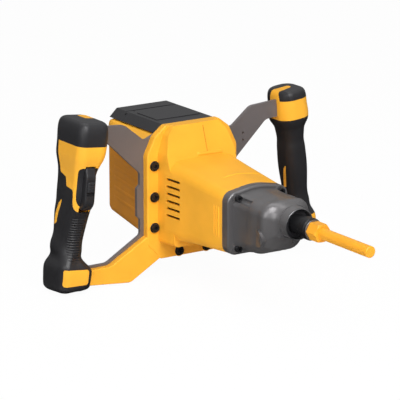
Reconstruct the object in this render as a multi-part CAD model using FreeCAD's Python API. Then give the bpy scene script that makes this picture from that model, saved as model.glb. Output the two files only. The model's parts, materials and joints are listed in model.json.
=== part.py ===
import FreeCAD, Part
import math
import os

# Two-handed cordless mixing drill, millimetres.
# Origin on the spindle axis at the front face of the paddle shaft's hex collar.
# The paddle shaft leaves along -Y, +Z is up with the handles upright, X runs from handle to handle.
# Stations are distances forward of the frame plate's front face.

V = FreeCAD.Vector

# Fits
FIT = 0.05
PLAY = 0.3
WALL = 3.2

# Paddle shaft and spindle
SHAFT_R = 7.4
SHAFT_LEN = 98.0
HEX_AF = 22.0
HEX_LEN = 19.0
COLLAR_R = 12.4
COLLAR_LEN = 15.0
STUD_R = 7.0
STUD_LEN = 22.0
SPINDLE_R = 12.5
SPINDLE_END = 270.0
SPINDLE_RIM_R = 14.0
SPINDLE_RIM_T = 2.5
JOURNAL_R = 10.0
TAIL_R = 7.5

# Frame plate
PLATE_T = 5.0
PLATE_TOP = 76.0
PLATE_SIDE = 76.5
TAB_OUT = 4.7
TAB_HIGH = 1.5
TAB_LOW = -36.0
ARM_END_W = 23.0
ARM_PAST_AXIS = 4.0
ARM_SCREW_PITCH = 13.0
CLAMP_HIGH = 84.0
CLAMP_LOW = -104.0
SUPPORT_LIFT = 17.0
PLATE_HOLE_R = 20.0
ACCESSORY_X = 87.8
ACCESSORY_Z = 50.2
ACCESSORY_PITCH = 10.0
ACCESSORY_R = 1.7

# Front housing
FLANGE_T = 10.0
FLANGE_HALF = 71.0
FLANGE_TOP = 84.0
FLANGE_LOW = -97.0
BLOCK_HALF = 55.0
BLOCK_TAPER = 3.0
BLOCK_TOP_S = 18.0
BLOCK_FOOT_S = 44.0
BLOCK_FOOT_Z = 6.0
BLOCK_LOW = -75.0
NECK_END = 150.0
NECK_HALF = 47.0
NECK_HIGH = 24.0
NECK_CROWN = 8.5
NECK_LOW = -57.0
NECK_ROUND = 14.0
ARM_COVER_T = 9.0
ARM_COVER_SET_IN = 3.0
VENT_COUNT = 6
VENT_PITCH = 9.8
VENT_H = 3.4
VENT_TOP_Z = 17.8
VENT_START = 29.0
VENT_LEN = 29.0

# Housing bolts
BOLT_R = 3.0
BOLT_HEAD_R = 5.6
BOLT_HEAD_H = 5.0
BOLT_SINK = 2.0
BOLT_X = 60.7
BOLT_LEVELS = (32.0, -10.3, -52.2)
LOW_BOLT_X = 21.8
LOW_BOLT_Z = -89.4
BOSS_R = 6.5
BOSS_LEN = 18.0
NUT_AF = 10.0
NUT_H = 5.0

# Gear case
CASE_FLANGE_T = 13.0
CASE_END = 260.0
NOSE_R = 23.5
NOSE_BORE_R = 19.5
NOSE_RECESS = 12.0
CASE_SCREW_X = 33.3
CASE_SCREW_HIGH = 19.0
CASE_SCREW_LOW = -47.5
CASE_SCREW_R = 2.5
CASE_SCREW_HEAD_R = 4.5
CASE_SCREW_HEAD_H = 5.0
ROOM_HALF = 26.0
ROOM_LOW = -38.0
ROOM_HIGH = 22.0
PAD_R = 13.0
PAD_S = 215.0
PAD_Z = -22.5
PAD_OUT = 36.0

# Gear train: the layshaft lies under the spindle, motor and spindle share one axis
CENTRES = 25.0
PRESSURE_ANGLE = 20.0
BACKLASH = 0.12
MOTOR_MODULE = 1.0
MOTOR_PINION_TEETH = 8
FIRST_GEAR_TEETH = 42
OUTPUT_MODULE = 1.25
LAY_PINION_TEETH = 8
OUTPUT_GEAR_TEETH = 32
FIRST_GEAR_S = 98.0
FIRST_GEAR_W = 12.0
OUTPUT_GEAR_S = 168.0
OUTPUT_GEAR_W = 18.0
PINION_OVERLAP = 1.0
GEAR_PLATE_T = 7.0
KEY_W = 5.0
KEY_DEPTH = 2.5
LAY_R = 6.0

# Bearings: bore radius, outer radius, width
ROTOR_BEARING = (4.0, 11.0, 7.0)
LAY_REAR_BEARING = (5.0, 11.0, 6.0)
LAY_FRONT_BEARING = (3.5, 8.0, 5.0)
SPINDLE_REAR_BEARING = (TAIL_R, 14.0, 7.0)
SPINDLE_FRONT_BEARING = (JOURNAL_R, 16.0, 7.0)
SPINDLE_FRONT_BEARING_S = 206.0
SEAL_R = 18.0
SEAL_T = 7.0

# Motor
BRACKET_T = 5.0
BRACKET_R = 44.0
SLEEVE_R = 35.0
SLEEVE_T = 3.2
SLEEVE_END = 76.0
STATOR_START = 20.0
STATOR_LEN = 38.0
STATOR_BORE_R = 17.5
STATOR_SLOTS = 9
SLOT_W = 8.0
WINDING_OVERHANG = 6.0
ROTOR_GAP = 0.6
ROTOR_SHAFT_R = 5.0
ROTOR_BEARING_S = 8.0
FAN_S = 65.0
FAN_W = 9.0
FAN_R = 31.0
FAN_BLADES = 11
FRONT_BRACKET_S = 82.0
FRONT_BRACKET_T = 10.0

# Battery bay, lid and hinge
BAY_LEN = 112.0
BAY_REAR_ROUND = 5.0
BAY_HALF_FRONT = 73.5
BAY_HALF_REAR = 54.5
BAY_LOW_FRONT = -64.5
BAY_LOW_REAR = -60.5
BAY_RIM_Z = 74.0
BAY_RIM_HALF = 42.0
BAY_MOUTH_HALF = 37.0
LID_TOP = 83.5
LID_HALF = 40.0
SKIRT_HALF = 51.5
SKIRT_LOW = 72.5
LID_WALL = 2.5
LID_FRONT_S = -0.4
HINGE_S = -88.0
BARREL_R = 3.5
HINGE_Z = LID_TOP - BARREL_R
HINGE_PIN_R = 1.5
BARREL_HALF = 30.0
EAR_R = 3.1
EAR_T = 8.0
HINGE_GROOVE = 0.4
BATTERY_HALF = 36.0
BATTERY_FRONT_S = -14.0
BATTERY_REAR_S = -78.0
BATTERY_LOW = -42.0
BATTERY_TOP = 64.0
TERMINAL_HALF = 22.0
CONTROLLER_HALF = 32.0
CONTROLLER_T = 11.0
CONTROLLER_LOW = 45.0
CONTROLLER_HIGH = 72.0

# Handles: heights are along the handle's own axis
HANDLE_X = 175.5
HANDLE_S = -8.0
HANDLE_SPLAY = 6.3
HANDLE_TOP = 109.0
SUPPORT_TOP = 107.0
HANDLE_LOW = -120.0
HEAD_LOW = 60.0
CAP_LOW = 78.0
FLARE_HIGH = -68.0
FOOT_TOP = -90.0
END_ROUND = 6.0
RUBBER_T = 2.5
INLAY_T = 1.2
GRIP_HALF = 15.0
GRIP_DEPTH = 20.5
FOOT_HALF = 22.5
FOOT_DEPTH = 28.5
HEAD_HALF = 22.5
HEAD_FRONT = 46.0
HEAD_REAR = 22.0
COLLAR_HALF_X = 23.5
COLLAR_DEPTH = 27.0
COLLAR_LOW = 68.0
GUARD_FRONT = 35.0
PAD_LOW = 95.0
HANDLE_SCREW_R = 2.5
HANDLE_SCREW_HEAD_R = 4.5
HANDLE_SCREW_HEAD_H = 4.0
HANDLE_SCREW_BITE = 14.0
YELLOW_REAR = -8.5

# Trigger
TRIGGER_HALF = 7.5
TRIGGER_PIN_R = 2.0
TRIGGER_PIN_HALF = 14.0
TRIGGER_PIN_F = 20.0
TRIGGER_PIN_H = 44.0
TRIGGER_TOP = 50.0
TRIGGER_LOW = -7.0
TRIGGER_FRONT = 44.0
TRIGGER_BACK = 23.0
TRIGGER_TRAVEL = 8.0
LOCK_HALF = 5.5
LOCK_TOP = 32.0
LOCK_LEN = 14.0
LOCK_TRAVEL = 4.0
LOCK_SEAT = 41.0
LOCK_PROUD = 1.6
SWITCH_HALF = 10.0

SHAFT_SEAT = SPINDLE_END + COLLAR_LEN + HEX_LEN
LAY_Z = -CENTRES


def station(s):
    """Y of a station."""
    return SHAFT_SEAT - s


def rounded_wire(corners, point):
    """Closed wire of straight runs and corner arcs; a corner is (a, b, radius), point(a, b) places it."""
    cuts = []
    count = len(corners)
    for i, (a, b, radius) in enumerate(corners):
        here = point(a, b)
        back = (point(*corners[i - 1][:2]) - here).normalize()
        ahead = (point(*corners[(i + 1) % count][:2]) - here).normalize()
        half = back.getAngle(ahead) / 2
        reach = radius / math.tan(half)
        inward = (back + ahead).normalize()
        middle = here + inward * (radius / math.sin(half) - radius)
        cuts.append((here + back * reach, middle, here + ahead * reach))
    edges = []
    for i, (start, middle, end) in enumerate(cuts):
        if start.distanceToPoint(end) > 1e-6:
            edges.append(Part.Arc(start, middle, end).toShape())
        following = cuts[(i + 1) % count][0]
        if end.distanceToPoint(following) > 1e-6:
            edges.append(Part.makeLine(end, following))
    return Part.Wire(edges)


def mirrored(right_half):
    """Whole outline from its right half, listed from top to bottom."""
    return list(right_half) + [(-x, z, r) for x, z, r in reversed(right_half)]


def section(corners, s):
    """Wire in the XZ plane at a station."""
    return rounded_wire(corners, lambda x, z: V(x, station(s), z))


def box_corners(half, low, high, radius, crown=0.0):
    """Corners of an upright rounded box section; crown lifts the middle of its top in a shallow arch."""
    corners = mirrored([(half, high, radius), (half, low, radius)])
    return [(0, high + crown, 2 * half)] + corners if crown else corners


def prism(corners, s_from, s_to):
    """Outline in the XZ plane pushed from one station to another."""
    face = Part.Face(section(corners, s_from))
    return face.extrude(V(0, s_from - s_to, 0))


def side_prism(corners, half):
    """Outline of (station, z, radius) corners pushed across X, from -half to +half."""
    wire = rounded_wire(corners, lambda s, z: V(-half, station(s), z))
    return Part.Face(wire).extrude(V(2 * half, 0, 0))


def block(x_from, x_to, s_from, s_to, z_from, z_to):
    """Plain box between two stations."""
    return Part.makeBox(x_to - x_from, s_to - s_from, z_to - z_from, V(x_from, station(s_to), z_from))


def disc(s_from, s_to, radius, x=0.0, z=0.0):
    """Round bar along the spindle direction."""
    return Part.makeCylinder(radius, s_to - s_from, V(x, station(s_to), z), V(0, 1, 0))


def ring(s_from, s_to, outer, inner, z=0.0):
    return disc(s_from, s_to, outer, 0, z).cut(disc(s_from, s_to, inner, 0, z))


def crossbar(x_from, x_to, radius, s, z):
    """Round bar along X."""
    return Part.makeCylinder(radius, x_to - x_from, V(x_from, station(s), z), V(1, 0, 0))


def turned(profile, z=0.0):
    """Solid turned about an axis along Y; the profile is (station, radius) pairs from axis to axis."""
    points = [V(r, station(s), z) for s, r in profile]
    face = Part.Face(Part.makePolygon(points + points[:1]))
    return face.revolve(V(0, 0, z), V(0, 1, 0), 360)


def fuse(shapes):
    whole = shapes[0]
    for shape in shapes[1:]:
        whole = whole.fuse(shape)
    return whole.removeSplitter()


def cut_all(shape, tools):
    return shape.cut(Part.makeCompound(tools)) if tools else shape


def largest(shape):
    return max(shape.Solids, key=lambda solid: solid.Volume)


def round_front(shape, s, radius):
    """Round the edges that lie in one station's plane."""
    edges = [e for e in shape.Edges if all(abs(v.Y - station(s)) < 1e-4 for v in e.Vertexes)]
    return shape.makeFillet(radius, edges)


# Gears

def involute(angle):
    return math.tan(angle) - angle


def spur_gear(module, teeth, shift, s_from, width, z, turn):
    """Straight gear: flanks are arcs through three involute points, turn sets the first tooth's angle."""
    pitch_r = module * teeth / 2
    pressure = math.radians(PRESSURE_ANGLE)
    base_r = pitch_r * math.cos(pressure)
    tip_r = pitch_r + module * (0.8 + shift if shift > 0 else 1.0 + shift)
    root_r = pitch_r + module * (shift - 1.25)
    half_tooth = math.pi / (2 * teeth) + 2 * shift * math.tan(pressure) / teeth - BACKLASH / (2 * pitch_r)
    foot_r = max(base_r, root_r) * 1.001

    def flank_angle(radius):
        return half_tooth + involute(pressure) - involute(math.acos(base_r / radius))

    def spot(radius, angle):
        return V(radius * math.sin(angle), station(s_from), z + radius * math.cos(angle))

    edges = []
    step = 2 * math.pi / teeth
    for i in range(teeth):
        centre = turn + i * step
        mid_r = (foot_r + tip_r) / 2
        left = [spot(r, centre - flank_angle(r)) for r in (foot_r, mid_r, tip_r)]
        right = [spot(r, centre + flank_angle(r)) for r in (tip_r, mid_r, foot_r)]
        root_in = spot(root_r, centre - flank_angle(foot_r))
        root_out = spot(root_r, centre + flank_angle(foot_r))
        next_root = spot(root_r, centre + step - flank_angle(foot_r))
        edges.append(Part.makeLine(root_in, left[0]))
        edges.append(Part.Arc(*left).toShape())
        edges.append(Part.Arc(left[2], spot(tip_r, centre), right[0]).toShape())
        edges.append(Part.Arc(*right).toShape())
        edges.append(Part.makeLine(right[2], root_out))
        edges.append(Part.Arc(root_out, spot(root_r, centre + step / 2), next_root).toShape())
    return Part.Face(Part.Wire(edges)).extrude(V(0, -width, 0))


def mesh_turn(teeth):
    """First-tooth angle that puts a tooth gap at the top of a gear."""
    return math.pi / teeth


# Frame plate

def handle_axis_x(z):
    return HANDLE_X - math.tan(math.radians(HANDLE_SPLAY)) * z


def plate_side(lift):
    """Right half of the plate's outline, top to bottom; lift raises the lower arm."""
    high_tip = handle_axis_x(CLAMP_HIGH) + ARM_PAST_AXIS
    low_clamp = CLAMP_LOW + lift
    low_tip = handle_axis_x(low_clamp) + ARM_PAST_AXIS
    high_a = CLAMP_HIGH + ARM_END_W / 2
    high_b = CLAMP_HIGH - ARM_END_W / 2
    low_a = low_clamp + ARM_END_W / 2
    low_b = low_clamp - ARM_END_W / 2
    tab = PLATE_SIDE + TAB_OUT
    return [(44, PLATE_TOP, 4), (69, 65.5, 8), (100, 90.5, 16), (high_tip, high_a, 5), (high_tip, high_b, 5),
            (125, 69.0, 12), (PLATE_SIDE, 22.5, 6), (PLATE_SIDE, TAB_HIGH + TAB_OUT, 2), (tab, TAB_HIGH, 2),
            (tab, TAB_LOW, 2), (PLATE_SIDE, TAB_LOW - TAB_OUT, 2), (PLATE_SIDE, -62 + lift / 2, 6), (129, low_a, 16),
            (low_tip, low_a, 5), (low_tip, low_b, 5), (97, low_b - 7.5, 14), (50, FLANGE_LOW + 1, 6)]


def plate_corners():
    return plate_side(SUPPORT_LIFT) + flipped(plate_side(0))


def bolt_places():
    sides = [(x, z) for x in (-BOLT_X, BOLT_X) for z in BOLT_LEVELS]
    return sides + [(-LOW_BOLT_X, LOW_BOLT_Z), (LOW_BOLT_X, LOW_BOLT_Z)]


def handle_screw_places():
    """Clamp screw centres with the side of the handle they hold."""
    places = []
    for side, lift in ((-1, 0), (1, SUPPORT_LIFT)):
        for z in (CLAMP_HIGH, CLAMP_LOW + lift):
            for offset in (-ARM_SCREW_PITCH / 2, ARM_SCREW_PITCH / 2):
                places.append((side * (handle_axis_x(z) + offset), z))
    return places


def frame_plate():
    plate = prism(plate_corners(), -PLATE_T, 0)
    holes = [disc(-PLATE_T - 1, 1, PLATE_HOLE_R)]
    holes += [disc(-PLATE_T - 1, 1, BOLT_R + PLAY / 2, x, z) for x, z in bolt_places()]
    holes += [disc(-PLATE_T - 1, 1, HANDLE_SCREW_R + PLAY / 2, x, z) for x, z in handle_screw_places()]
    for side in (-1, 1):
        z = ACCESSORY_Z + side * ACCESSORY_PITCH / 2
        holes.append(disc(-PLATE_T - 1, 1, ACCESSORY_R, ACCESSORY_X, z))
    return cut_all(plate, holes)


# Front housing

def block_corners(inset, taper):
    half = BLOCK_HALF - taper - inset
    top = FLANGE_TOP + 0.5 - taper / 3 - inset
    low = BLOCK_LOW + taper / 2 + inset
    return mirrored([(half - 19, top, 5), (half - 8, top - 11, 10), (half, top - 36, 16), (half, low, 8)])


def neck_sections(inset):
    """(station, corners) of the neck, from the block to the gear case."""
    rows = ((25.0, NECK_HALF + 7.5, NECK_LOW - 12, NECK_HIGH + 16, NECK_ROUND + 4, NECK_CROWN - 6),
            (76.0, NECK_HALF + 3.5, NECK_LOW - 6, NECK_HIGH + 9.5, NECK_ROUND + 3, NECK_CROWN - 2.5),
            (NECK_END, NECK_HALF, NECK_LOW, NECK_HIGH, NECK_ROUND, NECK_CROWN))
    return [(s, box_corners(half - inset, low + inset, high - inset, r - inset / 2, crown))
            for s, half, low, high, r, crown in rows]


def neck_solid(inset):
    return Part.makeLoft([section(corners, s) for s, corners in neck_sections(inset)], True, True)


def arm_cover_corners(grow, lift):
    """Right lower arm cover, from under the flange into the handle's foot; lift raises the arm."""
    clamp = CLAMP_LOW + lift
    end = handle_axis_x(clamp) - FOOT_HALF + 5
    edge = ARM_COVER_SET_IN - grow
    low_a = clamp + ARM_END_W / 2 - edge
    low_b = clamp - ARM_END_W / 2
    return [(56, -58, 0), (PLATE_SIDE - edge, -62 + lift / 2 - edge, 4), (128, low_a, 16), (end + grow, low_a, 0),
            (end + grow, low_b - grow, 0), (97, low_b - 7.0 - grow, 14), (47, FLANGE_LOW + 3, 0)]


def arm_covers(grow):
    return [arm_cover_corners(grow, SUPPORT_LIFT), flipped(arm_cover_corners(grow, 0))]


def flipped(corners):
    return [(-x, z, r) for x, z, r in reversed(corners)]


def block_solid(inset, s_from):
    """Tapered block behind a leaning front face."""
    whole = Part.makeLoft([section(block_corners(inset, 0), s_from),
                           section(block_corners(inset, BLOCK_TAPER), BLOCK_FOOT_S - inset)], True, True)
    high = FLANGE_TOP + 20
    lean = (BLOCK_FOOT_S - BLOCK_TOP_S) / (FLANGE_TOP - BLOCK_FOOT_Z)
    front = BLOCK_TOP_S - inset - lean * (high - FLANGE_TOP)
    wedge = [(front, high, 0), (BLOCK_FOOT_S - inset, BLOCK_FOOT_Z, 0), (BLOCK_FOOT_S + 30, BLOCK_FOOT_Z, 0),
             (BLOCK_FOOT_S + 30, high, 0)]
    return whole.cut(side_prism(wedge, FLANGE_HALF))


def flange_corners():
    return mirrored([(42, FLANGE_TOP, 6), (58.5, FLANGE_TOP - 12.5, 14), (FLANGE_HALF, FLANGE_TOP - 38, 16),
                     (FLANGE_HALF, FLANGE_LOW + 22, 4), (50, FLANGE_LOW, 5)])


def front_housing():
    flange = round_front(prism(flange_corners(), 0, FLANGE_T), FLANGE_T, 2.0)
    covers = []
    for outline in arm_covers(0):
        covers.append(round_front(prism(outline, 0, ARM_COVER_T), ARM_COVER_T, 2.0))
    pads = [disc(FLANGE_T - 4, FLANGE_T + 1.0, BOLT_HEAD_R + 2.4, x, z) for x, z in bolt_places()]
    body = fuse([flange, block_solid(0, FLANGE_T - 4), neck_solid(0)] + covers + pads)
    hollow = [block_solid(WALL, -1.0), neck_solid(WALL)]
    hollow.append(prism(neck_sections(WALL)[2][1], NECK_END - 1, NECK_END + 1))
    for i in range(VENT_COUNT):
        z = VENT_TOP_Z - i * VENT_PITCH
        for side in (-1, 1):
            near = NECK_HALF - 5 if side > 0 else -FLANGE_HALF
            far = FLANGE_HALF if side > 0 else 5 - NECK_HALF
            hollow.append(block(near, far, VENT_START, VENT_START + VENT_LEN, z - VENT_H / 2, z + VENT_H / 2))
    for x, z in bolt_places():
        hollow.append(disc(-1, FLANGE_T + 2, BOLT_R + PLAY / 2, x, z))
        hollow.append(disc(FLANGE_T + 1 - BOLT_SINK, FLANGE_T + 30, BOLT_HEAD_R + PLAY, x, z))
    return largest(cut_all(body, hollow))


# Gear case

def case_sections():
    rows = ((NECK_END + CASE_FLANGE_T - 3, 40.0, -55.0, 21.5, 16.0, 7.0), (190.0, 37.0, -49.5, 20.5, 17.0, 6.3),
            (222.0, 33.0, -43.0, 20.0, 18.0, 5.5), (238.0, 26.5, -35.0, 20.0, 20.0, 4.0),
            (248.0, NOSE_R + 0.3, -NOSE_R - 2, NOSE_R - 2.0, NOSE_R - 2.5, 2.3))
    return [(s, box_corners(half, low, high, r, crown)) for s, half, low, high, r, crown in rows]


def gear_plate_corners(grow):
    return box_corners(NECK_HALF - 2 + grow, NECK_LOW + 2 - grow, NECK_HIGH - 2 + grow, NECK_ROUND - 3, NECK_CROWN)


def case_screw_places():
    return [(x, z) for x in (-CASE_SCREW_X, CASE_SCREW_X) for z in (CASE_SCREW_HIGH, CASE_SCREW_LOW)]


def gear_case():
    front = NECK_END + CASE_FLANGE_T
    flange = prism(neck_sections(0)[2][1], NECK_END, front)
    flange = round_front(flange, front, 3.0)
    body = Part.makeLoft([section(corners, s) for s, corners in case_sections()], True, False)
    nose = disc(244, CASE_END, NOSE_R)
    pad = crossbar(-PAD_OUT, -PAD_OUT / 2, PAD_R, PAD_S, PAD_Z)
    lugs = [disc(NECK_END + 2, front + 1.5, CASE_SCREW_HEAD_R + 2.2, x, z) for x, z in case_screw_places()]
    whole = fuse([flange, body, nose, pad] + lugs)
    plate_end = NECK_END + GEAR_PLATE_T
    gear_room_end = OUTPUT_GEAR_S + OUTPUT_GEAR_W + 4
    room = prism(box_corners(ROOM_HALF, ROOM_LOW, ROOM_HIGH, 10), plate_end - 1, gear_room_end)
    bearing_end = SPINDLE_FRONT_BEARING_S + SPINDLE_FRONT_BEARING[2]
    tools = [prism(gear_plate_corners(FIT), NECK_END - 1, plate_end), room,
             disc(gear_room_end - 1, bearing_end, SPINDLE_FRONT_BEARING[1] + FIT),
             disc(gear_room_end - 1, gear_room_end + LAY_FRONT_BEARING[2], LAY_FRONT_BEARING[1] + FIT, 0, LAY_Z),
             disc(bearing_end - 1, CASE_END - NOSE_RECESS, SPINDLE_R + 1.0),
             disc(CASE_END - NOSE_RECESS - SEAL_T, CASE_END - NOSE_RECESS + 1, SEAL_R + FIT),
             disc(CASE_END - NOSE_RECESS, CASE_END + 1, NOSE_BORE_R)]
    for x, z in case_screw_places():
        tools.append(disc(NECK_END - 1, front + 5, CASE_SCREW_R + PLAY / 2, x, z))
        tools.append(disc(front + 1.5, front + 30, CASE_SCREW_HEAD_R + PLAY, x, z))
    return largest(cut_all(whole, tools))


def gear_plate():
    plate = prism(gear_plate_corners(0), NECK_END, NECK_END + GEAR_PLATE_T)
    tools = [disc(NECK_END - 1, NECK_END + 20, SPINDLE_REAR_BEARING[1] + FIT),
             disc(NECK_END - 1, NECK_END + 20, LAY_R + 2, 0, LAY_Z)]
    tools += [disc(NECK_END - 1, NECK_END + 20, CASE_SCREW_R + PLAY / 2, x, z) for x, z in case_screw_places()]
    return cut_all(plate, tools)


def case_screw(x, z):
    front = NECK_END + CASE_FLANGE_T + 1.5
    head = disc(front, front + CASE_SCREW_HEAD_H, CASE_SCREW_HEAD_R, x, z)
    socket = prism(polygon_corners(6, CASE_SCREW_HEAD_R * 0.55, x, z), front + CASE_SCREW_HEAD_H - 3,
                   front + CASE_SCREW_HEAD_H + 1)
    return fuse([head, disc(NECK_END + 0.5, front + 1, CASE_SCREW_R, x, z)]).cut(socket)


def polygon_corners(count, radius, x, z):
    steps = [math.pi * 2 * i / count for i in range(count)]
    return [(x + radius * math.cos(a), z + radius * math.sin(a), 0) for a in steps]


def housing_bolt(x, z):
    seat = FLANGE_T + 1 - BOLT_SINK
    side_bolt = abs(x) > LOW_BOLT_X + 1
    end = -PLATE_T - BOSS_LEN + 4 if side_bolt else -PLATE_T - NUT_H - 1
    head = disc(seat, seat + BOLT_HEAD_H, BOLT_HEAD_R, x, z)
    socket = prism(polygon_corners(6, BOLT_HEAD_R * 0.55, x, z), seat + 2, seat + BOLT_HEAD_H + 1)
    return fuse([head, disc(end, seat + 1, BOLT_R, x, z)]).cut(socket)


def plate_nut(x, z):
    across = NUT_AF / math.sqrt(3)
    nut = prism(polygon_corners(6, across, x, z), -PLATE_T - NUT_H, -PLATE_T)
    return nut.cut(disc(-PLATE_T - NUT_H - 1, 0, BOLT_R + FIT, x, z))


# Drive train

def bearing(size, s_from, z=0.0):
    """Ball bearing: one ring with the race gap turned into both faces."""
    bore, outer, width = size
    body = ring(s_from, s_from + width, outer, bore + FIT, z)
    mid = (bore + outer) / 2
    land = (outer - bore) * 0.16
    groove = ring(s_from - 1, s_from + 1, mid + land, mid - land, z)
    other = ring(s_from + width - 1, s_from + width + 1, mid + land, mid - land, z)
    return body.cut(groove).cut(other)


def spindle():
    bearing_end = SPINDLE_FRONT_BEARING_S + SPINDLE_FRONT_BEARING[2]
    tail_end = NECK_END + GEAR_PLATE_T + 1.0
    shaft = turned([(NECK_END - 1, 0), (NECK_END - 1, TAIL_R), (tail_end, TAIL_R), (tail_end, JOURNAL_R),
                    (bearing_end, JOURNAL_R), (bearing_end, SPINDLE_R), (SPINDLE_END - SPINDLE_RIM_T, SPINDLE_R),
                    (SPINDLE_END - SPINDLE_RIM_T, SPINDLE_RIM_R), (SPINDLE_END, SPINDLE_RIM_R), (SPINDLE_END, 0)])
    thread = disc(SPINDLE_END - STUD_LEN - 2, SPINDLE_END + 1, STUD_R + FIT)
    groove = ring(SPINDLE_FRONT_BEARING_S - 1.5, SPINDLE_FRONT_BEARING_S, JOURNAL_R + 5, JOURNAL_R - 0.8)
    return cut_all(shaft, [thread, groove, key_space(FIT)])


def key_space(grow):
    low = JOURNAL_R - KEY_DEPTH - grow
    half = KEY_W / 2 + grow
    start = OUTPUT_GEAR_S + 2 - grow
    return block(-half, half, start, start + OUTPUT_GEAR_W - 4 + 2 * grow, low, JOURNAL_R + KEY_DEPTH + grow)


def retaining_ring():
    s = SPINDLE_FRONT_BEARING_S
    clip = ring(s - 1.4, s - 0.1, JOURNAL_R + 3, JOURNAL_R - 0.8 + FIT)
    return clip.cut(block(-2.5, 2.5, s - 2, s + 1, -JOURNAL_R - 5, 0))


def output_gear():
    gear = spur_gear(OUTPUT_MODULE, OUTPUT_GEAR_TEETH, -0.5, OUTPUT_GEAR_S, OUTPUT_GEAR_W, 0, 0)
    return gear.cut(disc(OUTPUT_GEAR_S - 1, OUTPUT_GEAR_S + OUTPUT_GEAR_W + 1, JOURNAL_R + FIT)).cut(key_space(FIT))


def layshaft():
    start = FRONT_BRACKET_S
    gear_end = FIRST_GEAR_S + FIRST_GEAR_W
    pinion_start = OUTPUT_GEAR_S - PINION_OVERLAP
    pinion_end = OUTPUT_GEAR_S + OUTPUT_GEAR_W + PINION_OVERLAP
    tail = pinion_end + 3 + LAY_FRONT_BEARING[2]
    neck_r = OUTPUT_MODULE * (LAY_PINION_TEETH / 2 - 0.75) - 0.3
    journal = LAY_REAR_BEARING[0]
    shoulder = FRONT_BRACKET_S + FRONT_BRACKET_T + 1
    shaft = turned([(start, 0), (start, journal), (shoulder, journal), (shoulder, LAY_R),
                    (pinion_start - 3, LAY_R), (pinion_start - 3, neck_r), (pinion_end + 2, neck_r),
                    (pinion_end + 2, LAY_FRONT_BEARING[0]), (tail, LAY_FRONT_BEARING[0]), (tail, 0)], LAY_Z)
    pinion = spur_gear(OUTPUT_MODULE, LAY_PINION_TEETH, 0.5, pinion_start, pinion_end - pinion_start, LAY_Z,
                       mesh_turn(LAY_PINION_TEETH))
    return fuse([shaft, pinion])


def first_gear():
    gear = spur_gear(MOTOR_MODULE, FIRST_GEAR_TEETH, -0.5, FIRST_GEAR_S, FIRST_GEAR_W, LAY_Z, 0)
    web = (LAY_R + 5, MOTOR_MODULE * FIRST_GEAR_TEETH / 2 - 5)
    tools = [disc(FIRST_GEAR_S - 1, FIRST_GEAR_S + FIRST_GEAR_W + 1, LAY_R + FIT, 0, LAY_Z),
             ring(FIRST_GEAR_S - 1, FIRST_GEAR_S + 3, web[1], web[0], LAY_Z),
             ring(FIRST_GEAR_S + FIRST_GEAR_W - 3, FIRST_GEAR_S + FIRST_GEAR_W + 1, web[1], web[0], LAY_Z)]
    return cut_all(gear, tools)


def rotor_shaft():
    bearing_r = ROTOR_BEARING[0]
    rear = ROTOR_BEARING_S
    rear_end = rear + ROTOR_BEARING[2] + 0.5
    front = FRONT_BRACKET_S - 0.5
    pinion_start = FIRST_GEAR_S - PINION_OVERLAP
    pinion_end = FIRST_GEAR_S + FIRST_GEAR_W + PINION_OVERLAP
    root_r = MOTOR_MODULE * (MOTOR_PINION_TEETH / 2 - 0.75) - 0.1
    shaft = turned([(rear, 0), (rear, bearing_r), (rear_end, bearing_r), (rear_end, ROTOR_SHAFT_R),
                    (front, ROTOR_SHAFT_R), (front, bearing_r), (pinion_start - 1, bearing_r),
                    (pinion_start - 1, root_r), (pinion_end, root_r), (pinion_end, 0)])
    pinion = spur_gear(MOTOR_MODULE, MOTOR_PINION_TEETH, 0.5, pinion_start, pinion_end - pinion_start, 0,
                       mesh_turn(MOTOR_PINION_TEETH) + math.pi)
    return fuse([shaft, pinion])


def paddle_shaft():
    chamfer = 1.0
    hex_end = SHAFT_SEAT
    shank = turned([(SPINDLE_END - STUD_LEN, 0), (SPINDLE_END - STUD_LEN, STUD_R - chamfer),
                    (SPINDLE_END - STUD_LEN + chamfer, STUD_R), (SPINDLE_END, STUD_R), (SPINDLE_END, COLLAR_R),
                    (SPINDLE_END + COLLAR_LEN, COLLAR_R), (SPINDLE_END + COLLAR_LEN, SHAFT_R),
                    (hex_end + SHAFT_LEN - chamfer, SHAFT_R), (hex_end + SHAFT_LEN, SHAFT_R - chamfer),
                    (hex_end + SHAFT_LEN, 0)])
    nut = prism(polygon_corners(6, HEX_AF / math.sqrt(3), 0, 0), SPINDLE_END + COLLAR_LEN - 1, hex_end)
    dome = turned([(SPINDLE_END, 0), (SPINDLE_END, HEX_AF), (hex_end - 2, HEX_AF / math.sqrt(3)),
                   (hex_end, HEX_AF / 2), (hex_end, 0)])
    return fuse([shank, nut.common(dome)])


def spindle_seal():
    start = CASE_END - NOSE_RECESS - SEAL_T
    return ring(start, start + SEAL_T, SEAL_R, SPINDLE_R + 0.3)


# Motor

def motor_rear_bracket():
    hub_end = ROTOR_BEARING_S + ROTOR_BEARING[2]
    body = fuse([disc(0, BRACKET_T, BRACKET_R), disc(0, hub_end, ROTOR_BEARING[1] + 3.5)])
    tools = [disc(ROTOR_BEARING_S, hub_end + 1, ROTOR_BEARING[1] + FIT), disc(-1, hub_end, ROTOR_BEARING[0] + 2)]
    for i in range(6):
        a = math.pi / 6 + i * math.pi / 3
        tools.append(disc(-1, BRACKET_T + 1, 6.0, 26 * math.cos(a), 26 * math.sin(a)))
    return cut_all(body, tools)


def motor_sleeve():
    body = ring(BRACKET_T, SLEEVE_END, SLEEVE_R, SLEEVE_R - SLEEVE_T + FIT)
    windows = []
    for i in range(6):
        slot = block(-9, 9, FAN_S - 1, FAN_S + FAN_W + 1, SLEEVE_R - SLEEVE_T - 2, SLEEVE_R + 2)
        slot.rotate(V(0, 0, 0), V(0, 1, 0), 60 * i + 30)
        windows.append(slot)
    return cut_all(body, windows)


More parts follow.
